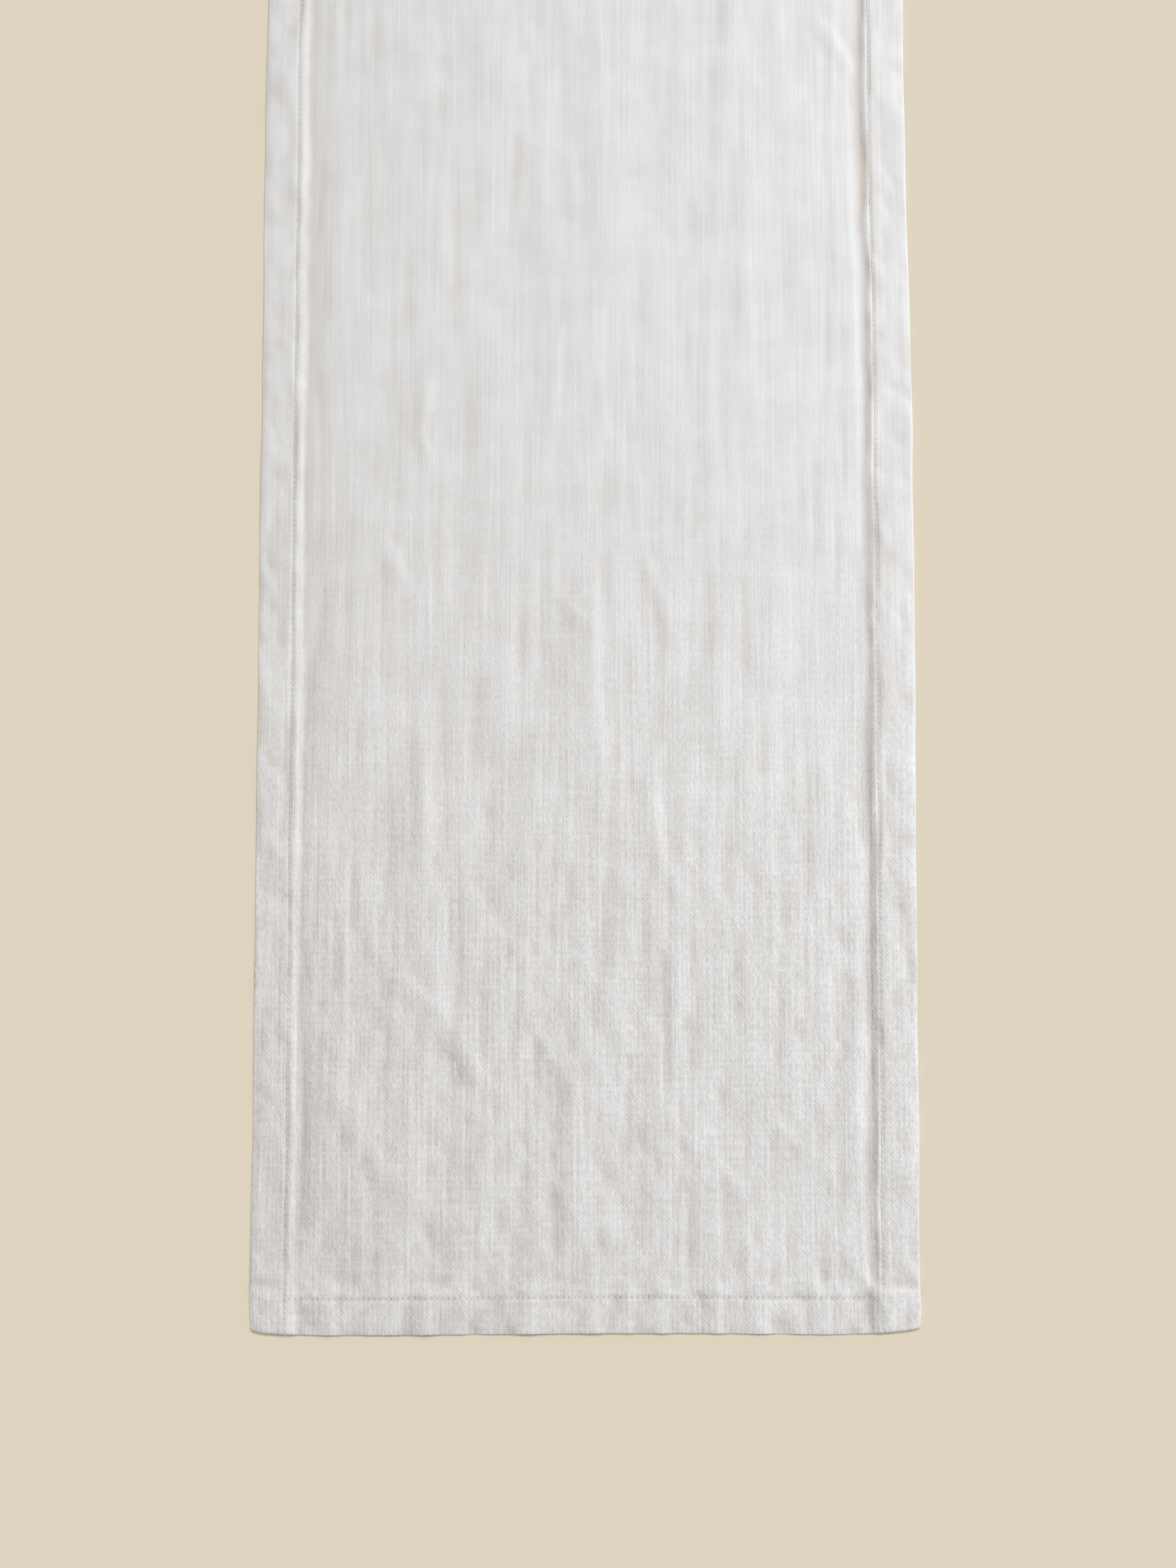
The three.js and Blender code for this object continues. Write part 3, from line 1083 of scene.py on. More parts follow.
    @staticmethod
    def _mixed(
        tree: bpy.types.NodeTree,
        yarns: Any,
        weights: tuple[float, float, float],
        busy: Any,
        warp: Any,
        warp_weight: float,
    ) -> bpy.types.Node:
        """Grain, weft and weave by their weights times how busy the cloth is, plus the warp by its own.

        Args:
            tree: The material's nodes.
            yarns: Grain, weft and weave as one vector.
            weights: A weight for each of them.
            busy: How busy the cloth is, from 0 to 1.
            warp: The warp's streaks.
            warp_weight: Their weight.

        Returns:
            A node that gives the sum.
        """
        fine = add_node(tree, "VectorMath", {0: yarns, 1: weights}, operation="DOT_PRODUCT").outputs["Value"]
        streaks = add_node(tree, "Math", {0: warp, 1: warp_weight}, operation="MULTIPLY")
        return add_node(tree, "Math", {0: fine, 1: busy, 2: streaks}, operation="MULTIPLY_ADD")

    def _streaks(self, tree: bpy.types.NodeTree, in_mm: Any, across: float, along: float) -> bpy.types.Node:
        """Thick and thin places of yarns, around 0: noise stretched across or along the cloth.

        Args:
            tree: The material's nodes.
            in_mm: Flat places in millimetres.
            across: How wide the places are.
            along: How long they are.

        Returns:
            A node that gives about -0.5 to 0.5.
        """
        per_mm = (1 / across, 1 / along, 1.0)
        stretched = add_node(tree, "VectorMath", {0: in_mm, 1: per_mm}, operation="MULTIPLY")
        uneven = {"Vector": stretched, "Scale": 1.0}
        uneven |= {"Detail": self.yarn_detail, "Roughness": self.yarn_roughness}
        noise = add_node(tree, "TexNoise", uneven, noise_dimensions="2D")
        return add_node(tree, "Math", {0: noise, 1: 0.5}, operation="SUBTRACT")

    def _weave(self, tree: bpy.types.NodeTree, x: Any, y: Any) -> bpy.types.Node:
        """Plain weave: the product of two sine waves, positive where the warp lies over the weft.

        Args:
            tree: The material's nodes.
            x: Places across the flat cloth, in millimetres.
            y: Places along it.

        Returns:
            A node that gives -1 to 1.
        """
        waves = []
        for place, count in ((x, 1.0), (y, self.wefts_per_warp)):
            phase = add_node(tree, "Math", {0: place, 1: math.pi / self.yarn * count}, operation="MULTIPLY")
            waves.append(add_node(tree, "Math", {0: phase}, operation="SINE"))
        return add_node(tree, "Math", dict(enumerate(waves)), operation="MULTIPLY")

    def _needle_holes(
        self, tree: bpy.types.NodeTree, x: Any, y: Any, sizes: RunnerSizes, pitch: float
    ) -> bpy.types.Node:
        """Spots of 1 where the needle went through, one per stitch along each seam, on 0.

        Args:
            tree: The material's nodes.
            x: Places across the flat cloth, in millimetres.
            y: Places along it.
            sizes: The runner's sizes.
            pitch: The stitch length.

        Returns:
            A node that gives 0 to 1.
        """
        spots = []
        for across, along, seam, length in (
            (x, y, sizes.seam_x, sizes.half_length),
            (y, x, sizes.seam_y, sizes.seam_x),
        ):
            out = add_node(tree, "Math", {0: across}, operation="ABSOLUTE")
            near = add_node(tree, "Math", {0: out, 1: seam, 2: self.hole_reach}, operation="COMPARE")
            turn = add_node(tree, "Math", {0: along, 1: 2 * math.pi / pitch}, operation="MULTIPLY")
            phase = add_node(tree, "Math", {0: turn}, operation="COSINE")
            rise = {0: phase, 1: self.hole_start, 2: self.hole_full, 3: 0.0, 4: near}
            hole = add_node(tree, "MapRange", rise, interpolation_type="SMOOTHSTEP")
            reach = add_node(tree, "Math", {0: along}, operation="ABSOLUTE")
            within = add_node(tree, "Math", {0: reach, 1: length}, operation="LESS_THAN")
            spots.append(add_node(tree, "Math", {0: hole, 1: within}, operation="MULTIPLY"))
        return add_node(tree, "Math", dict(enumerate(spots)), operation="MAXIMUM")


@dataclass(frozen=True)
class SpunThread:
    """Spun sewing thread: a fine twist with a faint sheen, a little creamier than the linen."""

    name: str = "spun_sewing_thread"
    # The twist's grooves take the dark tone: painted shade between the plies
    light: str = "#F6F4F0"
    dark: str = "#DCD8D0"
    roughness: float = 0.62
    ior: float = 1.48
    sheen: float = 0.15
    # Two plies whose twist turns once in 0.8 mm of thread, and stands up 0.04 mm
    plies: int = 2
    twist: float = 0.8
    twist_height: float = 0.04
    twist_strength: float = 0.8

    def material(self) -> bpy.types.Material:
        """Builds the material: slanted bands of twist along the strand's own places, with painted shade in
        the grooves between the plies.

        Returns:
            The material.
        """
        material, tree = new_material(self.name)
        flat = add_node(tree, "UVMap", uv_map="flat_cloth")
        split = add_node(tree, "SeparateXYZ", {0: flat})
        per_turn = 2 * math.pi / (self.twist * MM)
        along = add_node(tree, "Math", {0: split, 1: per_turn}, operation="MULTIPLY")
        round_it = {0: split.outputs[1], 1: 2 * math.pi * self.plies, 2: along}
        phase = add_node(tree, "Math", round_it, operation="MULTIPLY_ADD")
        wave = add_node(tree, "Math", {0: phase}, operation="SINE")
        band = add_node(tree, "Math", {0: wave, 1: 0.5, 2: 0.5}, operation="MULTIPLY_ADD")
        # Painted shade: the low part of each band, which the bump sinks, gets the dark tone
        tones = {"Factor": band, 6: linear(self.dark), 7: linear(self.light)}
        relief = {"Height": band, "Strength": self.twist_strength, "Distance": self.twist_height * MM}
        looks = {
            "Base Color": add_node(tree, "Mix", tones, data_type="RGBA").outputs[2],
            "Roughness": self.roughness,
            "IOR": self.ior,
            "Sheen Weight": self.sheen,
            "Normal": add_node(tree, "Bump", relief),
        }
        add_node(tree, "OutputMaterial", {"Surface": add_node(tree, "BsdfPrincipled", looks)})
        return material


@dataclass(frozen=True)
class PaintedBoard:
    """Matt painted board: the plain pale floor, with no pattern of its own."""

    name: str = "matt_painted_board"
    colour: str = "#E5DCCA"
    roughness: float = 0.95

    def material(self) -> bpy.types.Material:
        """Builds the material.

        Returns:
            The material.
        """
        material, tree = new_material(self.name)
        looks = {"Base Color": linear(self.colour), "Roughness": self.roughness, "Specular IOR Level": 0.0}
        add_node(tree, "OutputMaterial", {"Surface": add_node(tree, "BsdfPrincipled", looks)})
        return material


# ---------------------------------------------------------------------------------------------------
# Sub-assemblies
# ---------------------------------------------------------------------------------------------------

# Share of its height from which a hem, and a corner stack, takes the painted shade of the hollows in its face
HEM_TOP = 0.9
STACK_TOP = 0.8


def finish_piece(
    piece: bpy.types.Object, material: bpy.types.Material, slot: Slot, *nodes: str
) -> bpy.types.Object:
    """Dresses a piece and ties it to the frame.

    Args:
        piece: The piece.
        material: Its finish.
        slot: The record's material slot that the finish belongs to; not used.
        *nodes: The CAD nodes that the piece stands for.

    Returns:
        The piece.
    """
    piece.data.materials.append(material)
    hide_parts(*nodes)
    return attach(piece, "root")


def half_turn(radius: Any, steps: int) -> tuple[np.ndarray, np.ndarray]:
    """Sine and cosine down a half circle in that many steps, without its two ends."""
    angle = (math.pi * np.arange(1, steps) / steps)[:, None]
    return np.sin(angle) * np.ones_like(radius), np.cos(angle) * np.ones_like(radius)


@dataclass(frozen=True)
class FoldLine:
    """Section of a strip turned in twice: seam, outer fold, back, inner fold, then the raw edge."""

    top: np.ndarray
    low: np.ndarray
    mid: np.ndarray
    half: np.ndarray
    seam: float
    width: float
    raw: float
    # Distances outwards from the seam of the upper run's points, kept clear of the outer fold
    upper_steps: tuple[float, ...] = (0, 0.4, 0.8, 1.3, 1.9, 2.7, 3.8, 5.2, 7.0, 9.0, 11.0, 13.0, 15.0, 16.8)
    fold_clear: float = 3.2
    outer_steps: int = 8
    inner_steps: int = 6
    back_points: int = 14
    raw_points: int = 8

    def section(self) -> tuple[np.ndarray, np.ndarray, np.ndarray, np.ndarray, np.ndarray]:
        """Middle of the strip, its normal and the length along it.

        Straight runs are joined by half circles. A half circle's radius is half the difference in height
        between the runs that it joins, and its outermost point touches the outer fold or the inner fold.

        Returns:
            Distance inwards from the outer fold, height, the two parts of the normal on the face side,
            and the length along the strip from the seam; each has a row per point of the section.
        """
        one = np.ones_like(self.top)
        outer, inner = (self.top - self.low) / 2, (self.mid - self.low) / 2
        u_outer, u_inner = outer + self.half, self.width - inner - self.half
        sin_o, cos_o = half_turn(outer, self.outer_steps)
        sin_i, cos_i = half_turn(inner, self.inner_steps)
        steps = np.array([step for step in self.upper_steps if self.seam - step > self.fold_clear])[:, None]
        run_a = self.seam - steps * one
        run_a = np.concatenate([run_a, ((run_a[-1:] + u_outer) / 2), u_outer * one])
        # Points close up towards the inner fold, so that the plies can dip at the seam beside it
        share = 1.0 - np.square(np.linspace(1.0, 0.0, self.back_points))[:, None]
        run_c = u_outer + (u_inner - u_outer) * share
        run_e = u_inner + (self.raw - u_inner) * np.linspace(0.0, 1.0, self.raw_points)[:, None]
        rows = [
            (run_a, self.top * np.ones_like(run_a), 0 * run_a, np.ones_like(run_a)),
            (u_outer - outer * sin_o, self.low + outer * (1 + cos_o), -sin_o, cos_o),
            (run_c, self.low * np.ones_like(run_c), 0 * run_c, -np.ones_like(run_c)),
            (u_inner + inner * sin_i, self.low + inner * (1 - cos_i), sin_i, -cos_i),
            (run_e, self.mid * np.ones_like(run_e), 0 * run_e, np.ones_like(run_e)),
        ]
        u, z, nu, nz = (np.concatenate([row[k] for row in rows]) for k in range(4))
        du, dz = (np.diff(part, axis=0, prepend=part[:1]) for part in (u, z))
        length = np.cumsum(np.hypot(du, dz), axis=0)
        return u, z, nu, nz, length


@dataclass(frozen=True)
class HemPlies:
    """Heights of the three plies of a hem, from its back up."""

    sizes: RunnerSizes
    lie: ClothLie

    def section(
        self, share: np.ndarray, lifted: float, low_air: float, high_air: float, seam_free: Any = 1.0
    ) -> tuple[np.ndarray, ...]:
        """Face and back points of the folded ply.

        Each ply's height is the sum of the plies and the air below it. Near the seam the plies are pressed
        thinner, the air goes, and the back rises a little over the bobbin thread.

        Args:
            share: 0 on the hem and 1 beside a corner stack, one value per place along the hem.
            lifted: How far the whole hem is lifted beside the stack.
            low_air: Air between the back and the turned-in ply beside the stack.
            high_air: Air between the turned-in and the upper ply beside the stack.
            seam_free: 1 where the seam holds these plies, falling to 0 where it doesn't reach.

        Returns:
            Face u and z, back u and z, the length along the ply from the seam, and how high each point is
            in the hem, from 0 at its back to 1 at its upper ply.
        """
        sizes = self.sizes
        share = np.atleast_2d(share)
        half = between(sizes.ply, sizes.corner_ply, share) / 2
        low = half + lifted * share
        mid = low + 2 * half + between(sizes.air, low_air, share)
        top = mid + 2 * half + between(sizes.air, high_air, share)
        line = FoldLine(top, low, mid, half, sizes.seam_inset, sizes.hem, sizes.raw_edge)
        u, z, nu, nz, length = line.section()
        grip = self.lie.grip(u - sizes.seam_inset) * seam_free
        pressed = half * (1 - sizes.thinned * grip)
        height = (z - low) / (top - low)
        sink = between(*sizes.sink, share) * grip
        bobbin = between(*sizes.bobbin_rise, share) * grip
        shoulder = sizes.shoulder_drop * bell(u, sizes.shoulder_width)
        centre = z + bobbin * (1 - height) - (sink + shoulder) * height - (half - pressed) * (1 - 2 * height)
        return (
            u + nu * pressed,
            centre + nz * pressed,
            u - nu * pressed,
            centre - nz * pressed,
            length,
            height,
        )


@dataclass
class ClothSection:
    """A section of the one cloth, between its own seams and fold lines."""

    sizes: RunnerSizes
    lie: ClothLie
    linen: bpy.types.Material
    pieces: list[bpy.types.Object] = field(default_factory=list, init=False)

    def node(self) -> str:
        """The section's node in the frame."""
        raise NotImplementedError

    def dress(self) -> None:
        """Gives the section its finish."""
        finish_piece(self.pieces[0], self.linen, Slot.LINEN, self.node())

    def _laid(self, x: np.ndarray, y: np.ndarray, z: np.ndarray, height: np.ndarray) -> np.ndarray:
        """Points of a folded ply laid on the table: lifted by the relief, and crumpled in its upper ply.

        Args:
            x: Places across the runner.
            y: Places along it.
            z: Heights in a fold that lies flat.
            height: How much of the upper ply's own crumple each point takes, from 0 to 1.

        Returns:
            An array of points whose last axis is x, y, z.
        """
        return self.lie.placed(x, y, z + self.lie.raised(x, y) + self.lie.skin(x, y) * height)


@dataclass
class GroundCloth(ClothSection):
    """The single-ply middle of the runner, between its four seams."""

    seam_band: float = 3.0
    edge_band: float = 36.0
    # Distance between points near the ends and in the middle, along the runner and across it
    along_steps: tuple[float, float] = (2.1, 3.6)
    across_steps: tuple[float, float] = (1.8, 2.7)
    # Distances of the points beside a seam
    seam_steps: tuple[float, ...] = (0.0, 0.5, 1.0, 1.8)

    def node(self) -> str:
        """The ground's node in the frame."""
        return "ground_cloth"

    def rows(self) -> np.ndarray:
        """Places along the runner, shared with the side hems so that they meet point to point."""
        inner = graded(self.sizes.seam_y - self.seam_band, self.edge_band, *self.along_steps)
        return self._with_seam_steps(inner, self.sizes.seam_y)

    def columns(self) -> np.ndarray:
        """Places across the runner, shared with the end hems."""
        inner = graded(self.sizes.seam_x - self.seam_band, self.edge_band, *self.across_steps)
        return self._with_seam_steps(inner, self.sizes.seam_x)

    def _with_seam_steps(self, inner: np.ndarray, seam: float) -> np.ndarray:
        """Adds close steps beside the seam at both ends of a span."""
        beside = seam - np.array(self.seam_steps)
        return np.concatenate([-beside, inner, beside[::-1]])

    def build(self) -> None:
        """Makes the ply: its face follows the cloth's lie, and its back is one ply lower.

        The back has every second row and column, and lies under both the face and the mean of the face
        around it, so that it never comes through a fold.
        """
        x, y = self.columns()[:, None], self.rows()[None, :]
        height = self.lie.face(x, y)
        face = self.lie.placed(x, y, height)
        stack = self.lie.stack_across(x) * self.lie.stack_along(y)
        ply = between(self.sizes.ply, self.sizes.corner_ply, stack)
        padded = np.pad(height, 1, mode="edge")
        rows, columns = height.shape
        shifts = [padded[i : i + rows, j : j + columns] for i in range(3) for j in range(3)]
        around = sum(shifts) / len(shifts)
        lower = np.minimum(height, around) - ply
        back = self.lie.placed(x, y, np.maximum(lower, 0.0))[::2, ::2]
        # The face takes the painted shade of its hollows and of the seam grooves
        self.pieces.append(make_ply("cloth_ground", face, back, flat_places(x, y), self.lie.hollow(x, y)))


@dataclass
class SideHem(ClothSection):
    """A long edge turned in twice, between the two corner stacks."""

    side: Side
    rows: np.ndarray

    def node(self) -> str:
        """The hem's node in the frame."""
        return f"side_hem_{self.side.name.lower()}"

    def build(self) -> None:
        """Makes the folded ply: the hem's section carried along the side, lifted at each end."""
        sizes, y = self.sizes, self.rows[None, :]
        share = self.lie.stack_along(y)
        plies = HemPlies(sizes, self.lie)
        lifted = sizes.corner_height - sizes.strip_height
        fu, fz, bu, bz, length, height = plies.section(share, lifted, sizes.corner_air, sizes.corner_air)
        sign = self.side.value
        grids = []
        for u, z in ((fu, fz), (bu, bz)):
            grids.append(self._laid(sign * (sizes.half_width - u), y, z, height))
        reach = sign * (sizes.seam_x + length * np.ones_like(y))
        flat = flat_places(reach, y)
        # Only the upper ply's face takes the painted shade
        hollow = self.lie.hollow(sign * (sizes.half_width - fu), y) * (height > HEM_TOP)
        self.pieces.append(make_ply(f"cloth_{self.node()}", *grids, flat, hollow))


@dataclass
class EndHem(ClothSection):
    """A short edge turned in twice, between the two corner stacks."""

    end: End
    columns: np.ndarray

    def node(self) -> str:
        """The hem's node in the frame."""
        return f"end_hem_{self.end.name.lower()}"

    def build(self) -> None:
        """Makes the folded ply: the hem's section carried along the end, opened beside each stack."""
        sizes, x = self.sizes, self.columns[None, :]
        share = self.lie.stack_across(x)
        plies = HemPlies(sizes, self.lie)
        level = sizes.strip_height + sizes.corner_air
        low_air = 2 * level - 2 * sizes.corner_ply - sizes.corner_air
        high_air = level - sizes.corner_ply
        fu, fz, bu, bz, length, height = plies.section(share, 0.0, low_air, high_air, 1.0 - share)
        sign = self.end.value
        grids = []
        for u, z in ((fu, fz), (bu, bz)):
            grids.append(self._laid(x, sign * (sizes.half_length - u), z, height))
        reach = sign * (sizes.seam_y + length * np.ones_like(x))
        flat = flat_places(x, reach)
        # Only the upper ply's face takes the painted shade
        hollow = self.lie.hollow(x, sign * (sizes.half_length - fu)) * (height > HEM_TOP)
        self.pieces.append(make_ply(f"cloth_{self.node()}", *grids, flat, hollow))


@dataclass
class FoldedCorner(ClothSection):
    """A corner stack: the side hem's three plies turned over twice with the end hem, nine plies in all."""

    side: Side
    end: End

    def node(self) -> str:
        """The corner's node in the frame."""
        return f"corner_{self.end.name.lower()}_{self.side.name.lower()}"

    def build(self) -> None:
        """Makes the stack: the hem's section carried round the end fold's own section.

        A point of the hem's section keeps its height above the middle of the three-ply strip, measured
        along the normal of the path that the strip follows.
        """
        sizes = self.sizes
        strip = sizes.strip_height
        pressed = HemPlies(sizes, self.lie)
        fu, fz, bu, bz, length, _ = pressed.section(np.ones(1), 0.0, sizes.corner_air, sizes.corner_air)
        level = strip + sizes.corner_air
        heights = [np.full((1, 1), strip / 2 + k * level) for k in (2, 0, 1)]
        half = np.full((1, 1), strip / 2)
        path = FoldLine(*heights, half, sizes.seam_inset, sizes.hem, sizes.raw_edge)
        v, z, nv, nz, run = (part.T for part in path.section())
        grids = []
        for u, w in ((fu, fz), (bu, bz)):
            above = w - strip / 2
            x = self.side.value * (sizes.half_width - u) * np.ones_like(v)
            y = self.end.value * (sizes.half_length - (v + nv * above))
            height = z + nz * above
            share = height / sizes.corner_height
            lifted = height + self.lie.raised(x, y) * share + self.lie.skin(x, y) * np.square(share)
            grids.append(self.lie.placed(x, y, lifted))
        reach_x = self.side.value * (sizes.seam_x + length) * np.ones_like(run)
        reach_y = self.end.value * (sizes.seam_y + run) * np.ones_like(length)
        flat = flat_places(reach_x, reach_y)
        x, y = grids[0][..., 0], grids[0][..., 1]
        # Only the top of the stack takes the painted shade
        hollow = self.lie.hollow(x, y) * (grids[0][..., 2] > STACK_TOP * sizes.corner_height)
        self.pieces.append(make_ply(f"cloth_{self.node()}", *grids, flat, hollow))


@dataclass
class Seam:
    """A line of lock stitch: a needle thread on the face and a bobbin thread on the back."""

    sizes: RunnerSizes
    lie: ClothLie
    thread: bpy.types.Material
    edge: Side | End
    pitch: float = 3.4
    samples: int = 8
    lean: float = 0.16
    # Half the width and half the height of each thread, pressed a little flat
    needle_radii: tuple[float, float] = (0.27, 0.18)
    bobbin_radii: tuple[float, float] = (0.24, 0.15)
    # How high a thread's middle lies off the cloth at its holes and between them, and how far it dives
    needle_off: float = 0.12
    needle_arch: float = 0.06
    needle_dive: float = 0.50
    bobbin_off: float = 0.02
    bobbin_dive: float = 0.30
    dive_width: float = 0.34
    # The lowest and highest that a thread's middle may lie: off the table, and above a corner stack
    lowest: float = 0.17
    highest: float = 0.9
    # Height of a hem's back at its seam
    back_height: float = 0.20
    # How far short of the outer fold, of the seam it crosses and of a corner stack each thread stops
    side_stop: float = 0.4
    end_stop: float = 0.8
    bobbin_stop: float = 3.0
    pieces: list[bpy.types.Object] = field(default_factory=list)

    def _stitches(self, reach: float) -> tuple[np.ndarray, np.ndarray, np.ndarray]:
        """Where the thread's points lie along the seam, on both sides of its middle.

        Args:
            reach: Half the length that may be sewn.

        Returns:
            The places along the seam, how far each is from a needle hole as a share of a stitch, and the
            thread's lean sideways there, a sine wave per stitch.
        """
        count = int(reach // self.pitch)
        share = np.linspace(-count, count, 2 * count * self.samples + 1)
        phase = share - np.floor(share)
        away = np.abs(phase - np.round(phase))
        lean = -self.lean * np.sin(2 * math.pi * phase)
        return share * self.pitch, away, lean

    def _line(self, along: np.ndarray, sideways: np.ndarray) -> tuple[np.ndarray, np.ndarray]:
        """Flat places on the cloth for places along and beside the seam.

        Args:
            along: Places along the seam.
            sideways: Distances beside it.

        Returns:
            The places across the runner and along it.
        """
        if isinstance(self.edge, Side):
            return self.edge.value * self.sizes.seam_x + sideways, along
        return along, self.edge.value * self.sizes.seam_y + sideways

    def build(self) -> None:
        """Makes both threads.

        The needle thread arches over the face in each stitch and dives into the cloth at each hole. The
        bobbin thread runs along the back in the same way, upside down.
        """
        sizes, label, on_side = self.sizes, self.edge.name.lower(), isinstance(self.edge, Side)
        across = np.array([1.0, 0.0, 0.0] if on_side else [0.0, 1.0, 0.0])
        reach = sizes.half_length - self.side_stop if on_side else sizes.seam_x - self.end_stop
        along, away, lean = self._stitches(reach)
        dive = bell(away * self.pitch, self.dive_width)
        x, y = self._line(along, lean)
        off = self.needle_off + self.needle_arch * (1 - dive) - self.needle_dive * dive
        needle = self.lie.placed(x, y, self._face(x, y) + off)
        needle[:, 2] = np.minimum(needle[:, 2], sizes.corner_height + self.highest)
        self.pieces.append(make_strand(f"thread_needle_{label}", needle, across, self.needle_radii))
        along, away, lean = self._stitches((sizes.seam_y if on_side else sizes.seam_x) - self.bobbin_stop)
        dive = bell(away * self.pitch, self.dive_width)
        x, y = self._line(along, -lean)
        rise = self.lie.raised(x, y) + self._back(x, y)
        bobbin = self.lie.placed(x, y, rise + self.bobbin_off + self.bobbin_dive * dive)
        bobbin[:, 2] = np.maximum(bobbin[:, 2], self.lowest)
        self.pieces.append(make_strand(f"thread_bobbin_{label}", bobbin, across, self.bobbin_radii))

    def _face(self, x: np.ndarray, y: np.ndarray) -> np.ndarray:
        """Height of the face under the thread, rounded off over the fold of a corner's end.

        Args:
            x: Places across the runner.
            y: Places along it.

        Returns:
            The height in millimetres, which follows a half circle beyond the start of the fold.
        """
        fold = self.sizes.corner_height / 2
        over = np.clip(fold - (self.sizes.half_length - np.abs(y)), 0.0, fold)
        return self.lie.face(x, y) - fold + np.sqrt(np.square(fold) - np.square(over))

    def _back(self, x: np.ndarray, y: np.ndarray) -> np.ndarray:
        """Height of the hem's back along its seam, which rises beside a corner only on a side hem.

        Args:
            x: Places across the runner.
            y: Places along it.

        Returns:
            The height in millimetres.
        """
        lifted = self.sizes.corner_height - self.sizes.strip_height
        share = self.lie.stack_along(y) if isinstance(self.edge, Side) else np.zeros_like(x)
        return self.back_height + lifted * share

    def dress(self) -> None:
        """Gives both threads their finish."""
        label = self.edge.name.lower()
        for piece, kind in zip(self.pieces, ("needle", "bobbin")):
            finish_piece(piece, self.thread, Slot.THREAD, f"{kind}_thread_{label}")


# ---------------------------------------------------------------------------------------------------
# Studio
# ---------------------------------------------------------------------------------------------------


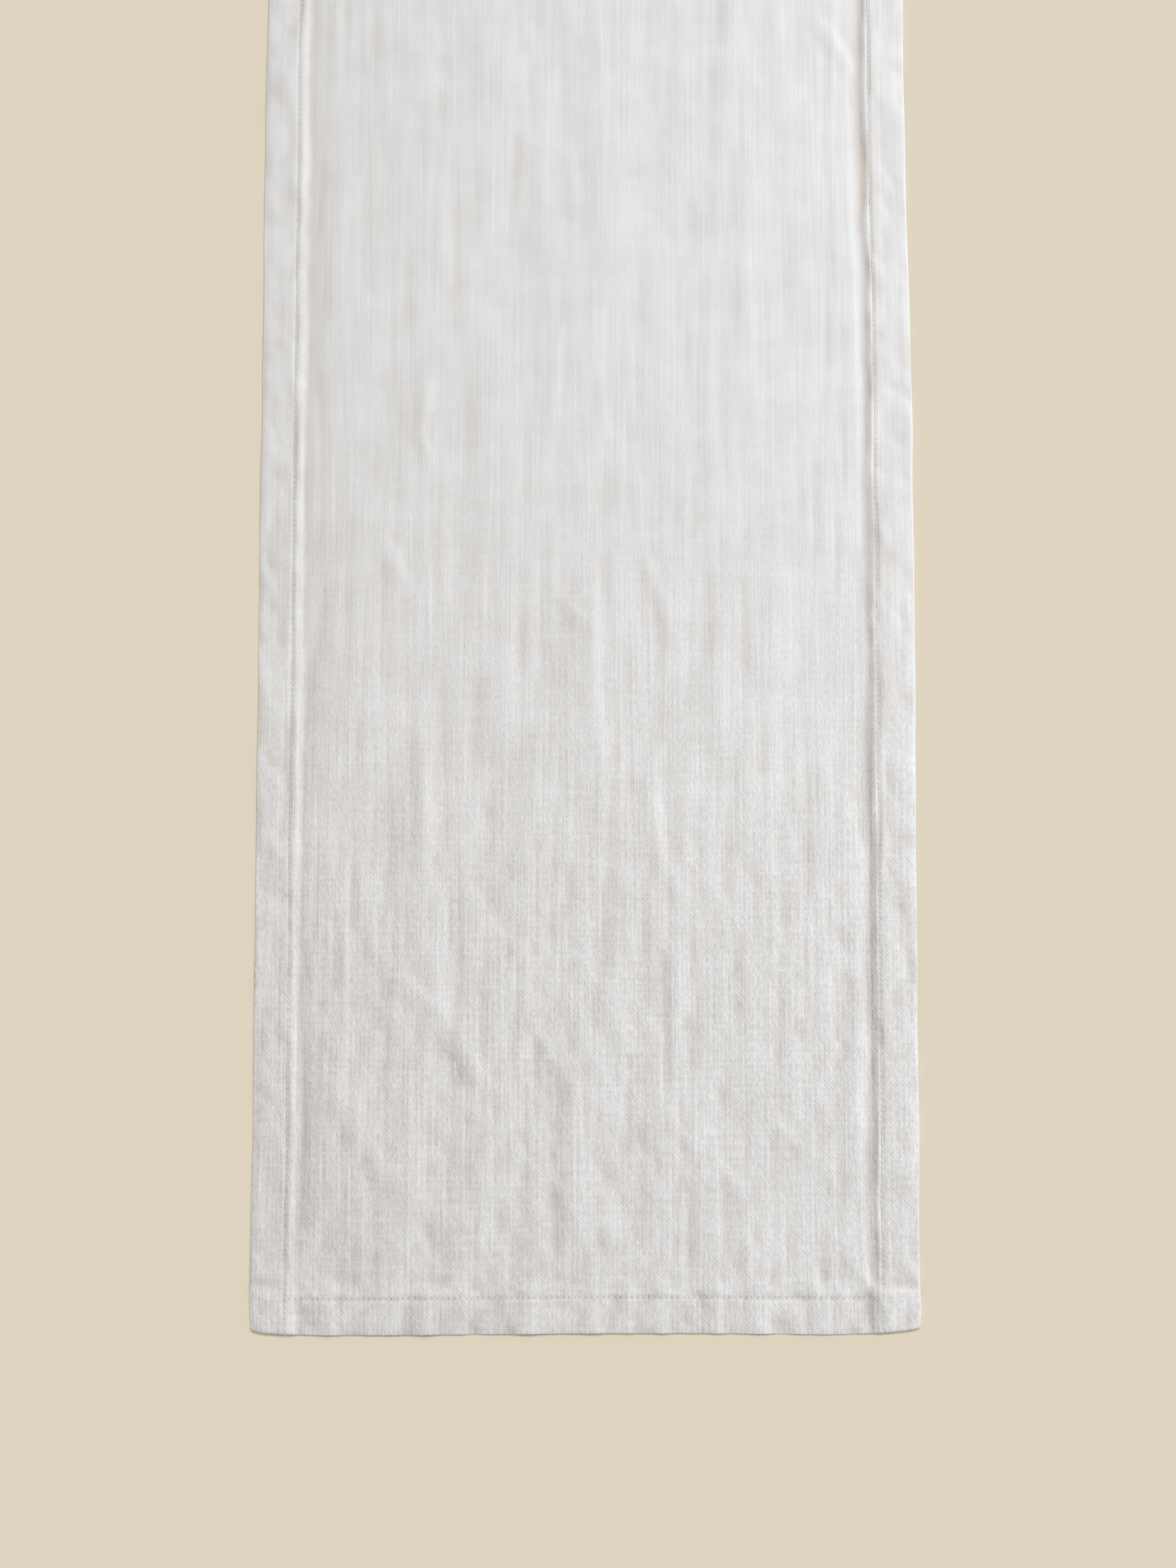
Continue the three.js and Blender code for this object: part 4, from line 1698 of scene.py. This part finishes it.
@dataclass
class Studio:
    """Camera, floor and soft light around the runner."""

    lens: float = 50.0
    sensor: float = 36.0
    clip: tuple[float, float] = (0.01, 50.0)
    aim: tuple[float, float, float] = (0.0015, -0.4211, 0.001)
    distance: float = 1.3257
    tilt: float = 5.47
    floor_radius: float = 30.0
    floor_corners: int = 96
    # Just below the table plane, so that the cloth's underside never flickers through it
    floor_height: float = -MM / 20
    key_place: tuple[float, float, float] = (2.4, 0.45, 1.9)
    key_aim: tuple[float, float, float] = (1.31, 0.15, 0.0)
    key_size: float = 1.1
    key_power: float = 92.0
    key_colour: str = "#EFF7FF"
    fill_colour: str = "#F4EEE7"
    fill_strength: float = 0.48
    floor_sun: float = 1.75
    floor_sun_lean: float = 25.0
    floor_sun_spread: float = 24.0
    bounce_place: tuple[float, float, float] = (-0.75, -0.35, 0.45)
    bounce_aim: tuple[float, float, float] = (-0.15, -0.45, 0.0)
    bounce_size: float = 0.5
    bounce_power: float = 0.40
    bounce_colour: str = "#F0DCC0"
    floor: bpy.types.Object | None = None
    soft: list[bpy.types.Object] = field(default_factory=list)

    def camera(self) -> None:
        """Makes the camera, nearly straight above the near half and leaning towards the near end."""
        data = bpy.data.cameras.new("camera")
        data.lens = self.lens
        data.sensor_width = self.sensor
        data.clip_start, data.clip_end = self.clip
        camera = add_object("camera", data)
        lean = math.radians(self.tilt)
        back = Vector((0.0, -math.sin(lean), math.cos(lean)))
        camera.location = Vector(self.aim) + back * self.distance
        camera.rotation_euler = (lean, 0.0, 0.0)
        bpy.context.scene.camera = camera

    @staticmethod
    def light_only(lamp: bpy.types.Object, receivers: list[bpy.types.Object]) -> None:
        """Lets a lamp light only some objects, so that the floor stays even under a raking key.

        Args:
            lamp: The lamp.
            receivers: What it lights.
        """
        group = bpy.data.collections.new(f"lit_by_{lamp.name}")
        for receiver in receivers:
            group.objects.link(receiver)
        lamp.light_linking.receiver_collection = group

    @staticmethod
    def _disk(name: str, size: float, power: float, colour: str) -> bpy.types.Object:
        """A round area lamp.

        Args:
            name: The lamp's name.
            size: Its diameter in metres.
            power: Its power in watts.
            colour: Its colour as sRGB hex.

        Returns:
            The lamp, at the origin.
        """
        lamp = bpy.data.lights.new(name, "AREA")
        lamp.shape, lamp.size = "DISK", size
        lamp.energy, lamp.color = power, linear(colour)[:3]
        return add_object(name, lamp)

    @staticmethod
    def _point(
        light: bpy.types.Object, place: tuple[float, float, float], aim: tuple[float, float, float]
    ) -> None:
        """Puts a lamp at a place and turns it towards its aim."""
        light.location = place
        light.rotation_euler = (Vector(aim) - Vector(place)).to_track_quat("-Z", "Y").to_euler()

    def build(self) -> None:
        """Makes the floor and the lights."""
        # Round, so that its far edge is a level line from every side
        turn = np.linspace(0.0, 2 * math.pi, self.floor_corners, endpoint=False)
        rim = np.stack([np.cos(turn), np.sin(turn), np.zeros_like(turn)], axis=1) * self.floor_radius
        rim[:, 2] = self.floor_height
        mesh = bpy.data.meshes.new("floor")
        mesh.from_pydata(rim.tolist(), [], [tuple(range(self.floor_corners))])
        self.floor = add_object("floor", mesh)
        self.floor.data.materials.append(PaintedBoard().material())
        key = self._disk("key", self.key_size, self.key_power, self.key_colour)
        self._point(key, self.key_place, self.key_aim)
        # Light that the pale room sends back from the other side: it warms the left of the cloth
        bounce = self._disk("bounce", self.bounce_size, self.bounce_power, self.bounce_colour)
        self._point(bounce, self.bounce_place, self.bounce_aim)
        self.soft = [key, bounce]
        sun = bpy.data.lights.new("floor_sun", "SUN")
        sun.energy, sun.angle = self.floor_sun, math.radians(self.floor_sun_spread)
        above = add_object("floor_sun", sun)
        above.rotation_euler = (math.radians(-self.floor_sun_lean), 0.0, 0.0)
        self.light_only(above, [self.floor])
        world = bpy.data.worlds.new("studio")
        world.use_nodes = True
        world.node_tree.nodes.clear()
        glow = {"Color": linear(self.fill_colour), "Strength": self.fill_strength}
        sky = add_node(world.node_tree, "Background", glow)
        add_node(world.node_tree, "OutputWorld", {"Surface": sky})
        bpy.context.scene.world = world
        bpy.context.scene.view_settings.view_transform = "Standard"


def main() -> None:
    """Builds the camera, the studio and the runner, and reports each piece."""
    logging.basicConfig(level=logging.INFO, format="%(name)s: %(message)s")
    studio = Studio()
    studio.camera()
    studio.build()
    sizes = RunnerSizes.from_frame()
    lie = ClothLie(sizes)
    pitch = Seam.pitch
    linen = WashedLinen().material(sizes, pitch)
    thread = SpunThread().material()
    ground = GroundCloth(sizes, lie, linen)
    hems = [SideHem(sizes, lie, linen, side, ground.rows()) for side in Side]
    hems += [EndHem(sizes, lie, linen, end, ground.columns()) for end in End]
    corners = [FoldedCorner(sizes, lie, linen, side, end) for end in End for side in Side]
    seams = [Seam(sizes, lie, thread, edge) for edge in (*Side, *End)]
    for part in (ground, *hems, *corners, *seams):
        part.build()
        part.dress()
        for piece in part.pieces:
            LOG.info("%s: %d faces", piece.name, len(piece.data.polygons))
    sewn = [piece for part in (*hems, *corners, *seams) for piece in part.pieces]
    for lamp in studio.soft:
        studio.light_only(lamp, [ground.pieces[0], *sewn])


if __name__ == "__main__":
    main()
